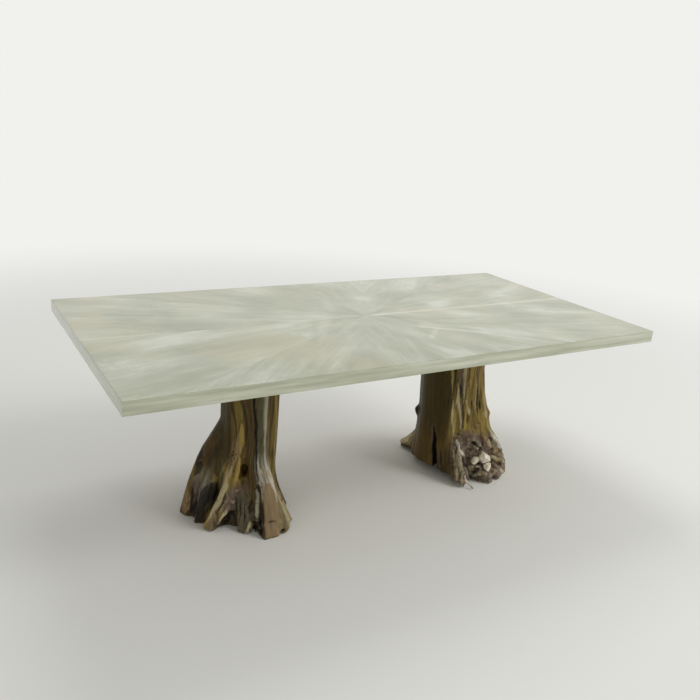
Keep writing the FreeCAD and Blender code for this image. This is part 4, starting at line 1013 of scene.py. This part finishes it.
relief = add(tree, "ShaderNodeMath", {0: tone, 1: open_wood}, operation="MULTIPLY")
relief = add(tree, "ShaderNodeMath", {0: lumps, 1: 2.0, 2: relief}, operation="MULTIPLY_ADD")
bump = add(tree, "ShaderNodeBump", {"Height": relief, "Strength": 0.55, "Distance": 0.0016})
gloss = add(tree, "ShaderNodeMapRange", {"Value": tone, "From Min": 0.7, "From Max": 1.3,
                                         "To Min": 0.34, "To Max": 0.56})
gloss = add(tree, "ShaderNodeMath", {0: sawn, 1: 0.18, 2: gloss}, operation="MULTIPLY_ADD")
shader = add(tree, "ShaderNodeBsdfPrincipled",
             {"Base Color": colour, "Roughness": gloss, "IOR": 1.45, "Normal": bump,
              "Coat Weight": 0.08, "Specular IOR Level": 0.15, "Coat Roughness": 0.22, "Coat IOR": 1.45})
add(tree, "ShaderNodeOutputMaterial", {"Surface": shader})
print("nodes in the root wood:", len(tree.nodes))

# %% [markdown]
# Each stump then takes the place of its CAD node. Where its surface wears smooth, and where it is
# gnarled, is told by small functions of bearing and height, because this differs between the two.

# %% Put the stumps in place
def place_stump(side, *carving):
    """Carves a stump, finishes it, and lets it stand for its CAD node."""
    mesh = carved(side, *carving)
    mesh.materials.clear()
    mesh.materials.append(root_wood)
    mesh.polygons.foreach_set("use_smooth", np.ones(len(mesh.polygons), dtype=bool))
    piece = placed(side + "_root", mesh)
    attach(piece, "root")
    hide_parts(side + "_stump")
    print(side, "root:", len(mesh.vertices), "points,", len(mesh.polygons), "squares")


def smooth_left(bearing, height):
    """The dark foot on the left, and less so the upper trunk."""
    foot = between(bearing, 0.485, 0.56, 0.02) * between(height, -1, 0.175, 0.03)
    return foot + 0.6 * between(bearing, 0.44, 0.70, 0.03) * between(height, 0.30, 1, 0.05)


def smooth_right(bearing, height):
    """The whole left side, at every height."""
    return between(bearing, 0.36, 0.665, 0.02)


def gnarl_left(bearing, height):
    """The hollow between the feet."""
    return 0.5 * between(bearing, 0.59, 0.73, 0.03) * between(height, -1, 0.15, 0.06)


def gnarl_right(bearing, height):
    """The burl."""
    return between(bearing, 0.68, 0.90, 0.03) * between(height, -1, 0.20, 0.06)


place_stump("left", LEFT_LIMBS, LEFT_WASHES, LEFT_STROKES, smooth_left, gnarl_left)
place_stump("right", RIGHT_LIMBS, RIGHT_WASHES, RIGHT_STROKES, smooth_right, gnarl_right)

# %% [markdown]
# Pale stones sit in the root where it grew round them. They are broken quartz with a chalky skin:
# cream, with clouds of brown soil about 14 mm across, and dull. Its grit is drawn at 2.4 mm, coarser
# than real, so that it shows.

# %% Weathered quartz
stone, tree = new_graph("weathered_quartz_stone")
place = add(tree, "ShaderNodeTexCoord").outputs["Object"]
cloud = add(tree, "ShaderNodeTexNoise", {"Vector": place, "Scale": 70.0, "Detail": 5})
colour = add(tree, "ShaderNodeValToRGB", {"Fac": cloud},
             [(0.28, "#A8967A"), (0.42, "#DDD0B6"), (0.65, "#F0E7D6")])
grit = add(tree, "ShaderNodeTexNoise", {"Vector": place, "Scale": 420.0, "Detail": 3})
bump = add(tree, "ShaderNodeBump", {"Height": grit, "Strength": 0.2, "Distance": 0.0006})
shader = add(tree, "ShaderNodeBsdfPrincipled", {"Base Color": colour, "Roughness": 0.7, "Normal": bump})
add(tree, "ShaderNodeOutputMaterial", {"Surface": shader})
print("nodes in the quartz:", len(tree.nodes))

# %% [markdown]
# Noise on a ball would give a pebble, but broken stone is all flat faces and crisp ridges. So each is
# struck as a mason would: a block round the CAD stone's middle loses what lies outside some planes,
# and the edges are worn by a millimetre.
# A plane is a turn in degrees as the camera sees it, a lean towards the camera, and how many
# millimetres out it lies.

# %% Broken stones
BREAKS = {"root_stone_1": ((154, 0, 14), (97, 0, 15), (357, 0, 18), (313, 0, 14), (260, 0, 19),
                           (221, 0, 21), (150, 48, 14), (325, 52, 14), (50, 62, 16), (0, -90, 18)),
          "root_stone_2": ((156, 0, 23), (61, 0, 17), (5, 0, 24), (292, 0, 22), (218, 0, 22),
                           (190, 0, 23), (200, 50, 18), (30, 48, 19), (285, 56, 19), (0, -90, 24)),
          "root_stone_3": ((133, 0, 17), (97, 0, 17), (9, 0, 16), (339, 0, 14), (257, 0, 18),
                           (226, 0, 15), (194, 0, 16), (170, 50, 13), (345, 52, 13), (80, 60, 16),
                           (0, -90, 18))}
BLOCK_SIZE = 0.08
WORN_EDGE = 0.001
rightwards, upwards, towards = aim.col


def broken_stone(name, planes):
    """A block that is cut down to a broken stone, in the place of a CAD stone."""
    low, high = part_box(name)
    middle = (low + high) / 2
    shape = bmesh.new()
    bmesh.ops.create_cube(shape, size=BLOCK_SIZE, matrix=Matrix.Translation(middle))
    for turn, lean, distance in planes:
        turn, lean = math.radians(turn), math.radians(lean)
        flat = math.cos(turn) * rightwards + math.sin(turn) * upwards
        way = math.cos(lean) * flat + math.sin(lean) * towards
        bmesh.ops.bisect_plane(shape, geom=shape.verts[:] + shape.edges[:] + shape.faces[:],
                               plane_co=middle + way * distance / 1000, plane_no=way, clear_outer=True)
        bmesh.ops.holes_fill(shape, edges=[edge for edge in shape.edges if edge.is_boundary])
    bmesh.ops.bevel(shape, geom=shape.edges[:], offset=WORN_EDGE, segments=1, profile=0.5,
                    affect="EDGES", material=-1)
    bmesh.ops.recalc_face_normals(shape, faces=shape.faces)
    data = bpy.data.meshes.new(name + "_broken")
    shape.to_mesh(data)
    shape.free()
    data.materials.append(stone)
    piece = placed(name + "_broken", data)
    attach(piece, "root")
    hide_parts(name)
    print(name, "has", len(data.polygons), "faces")


for name, planes in BREAKS.items():
    broken_stone(name, planes)
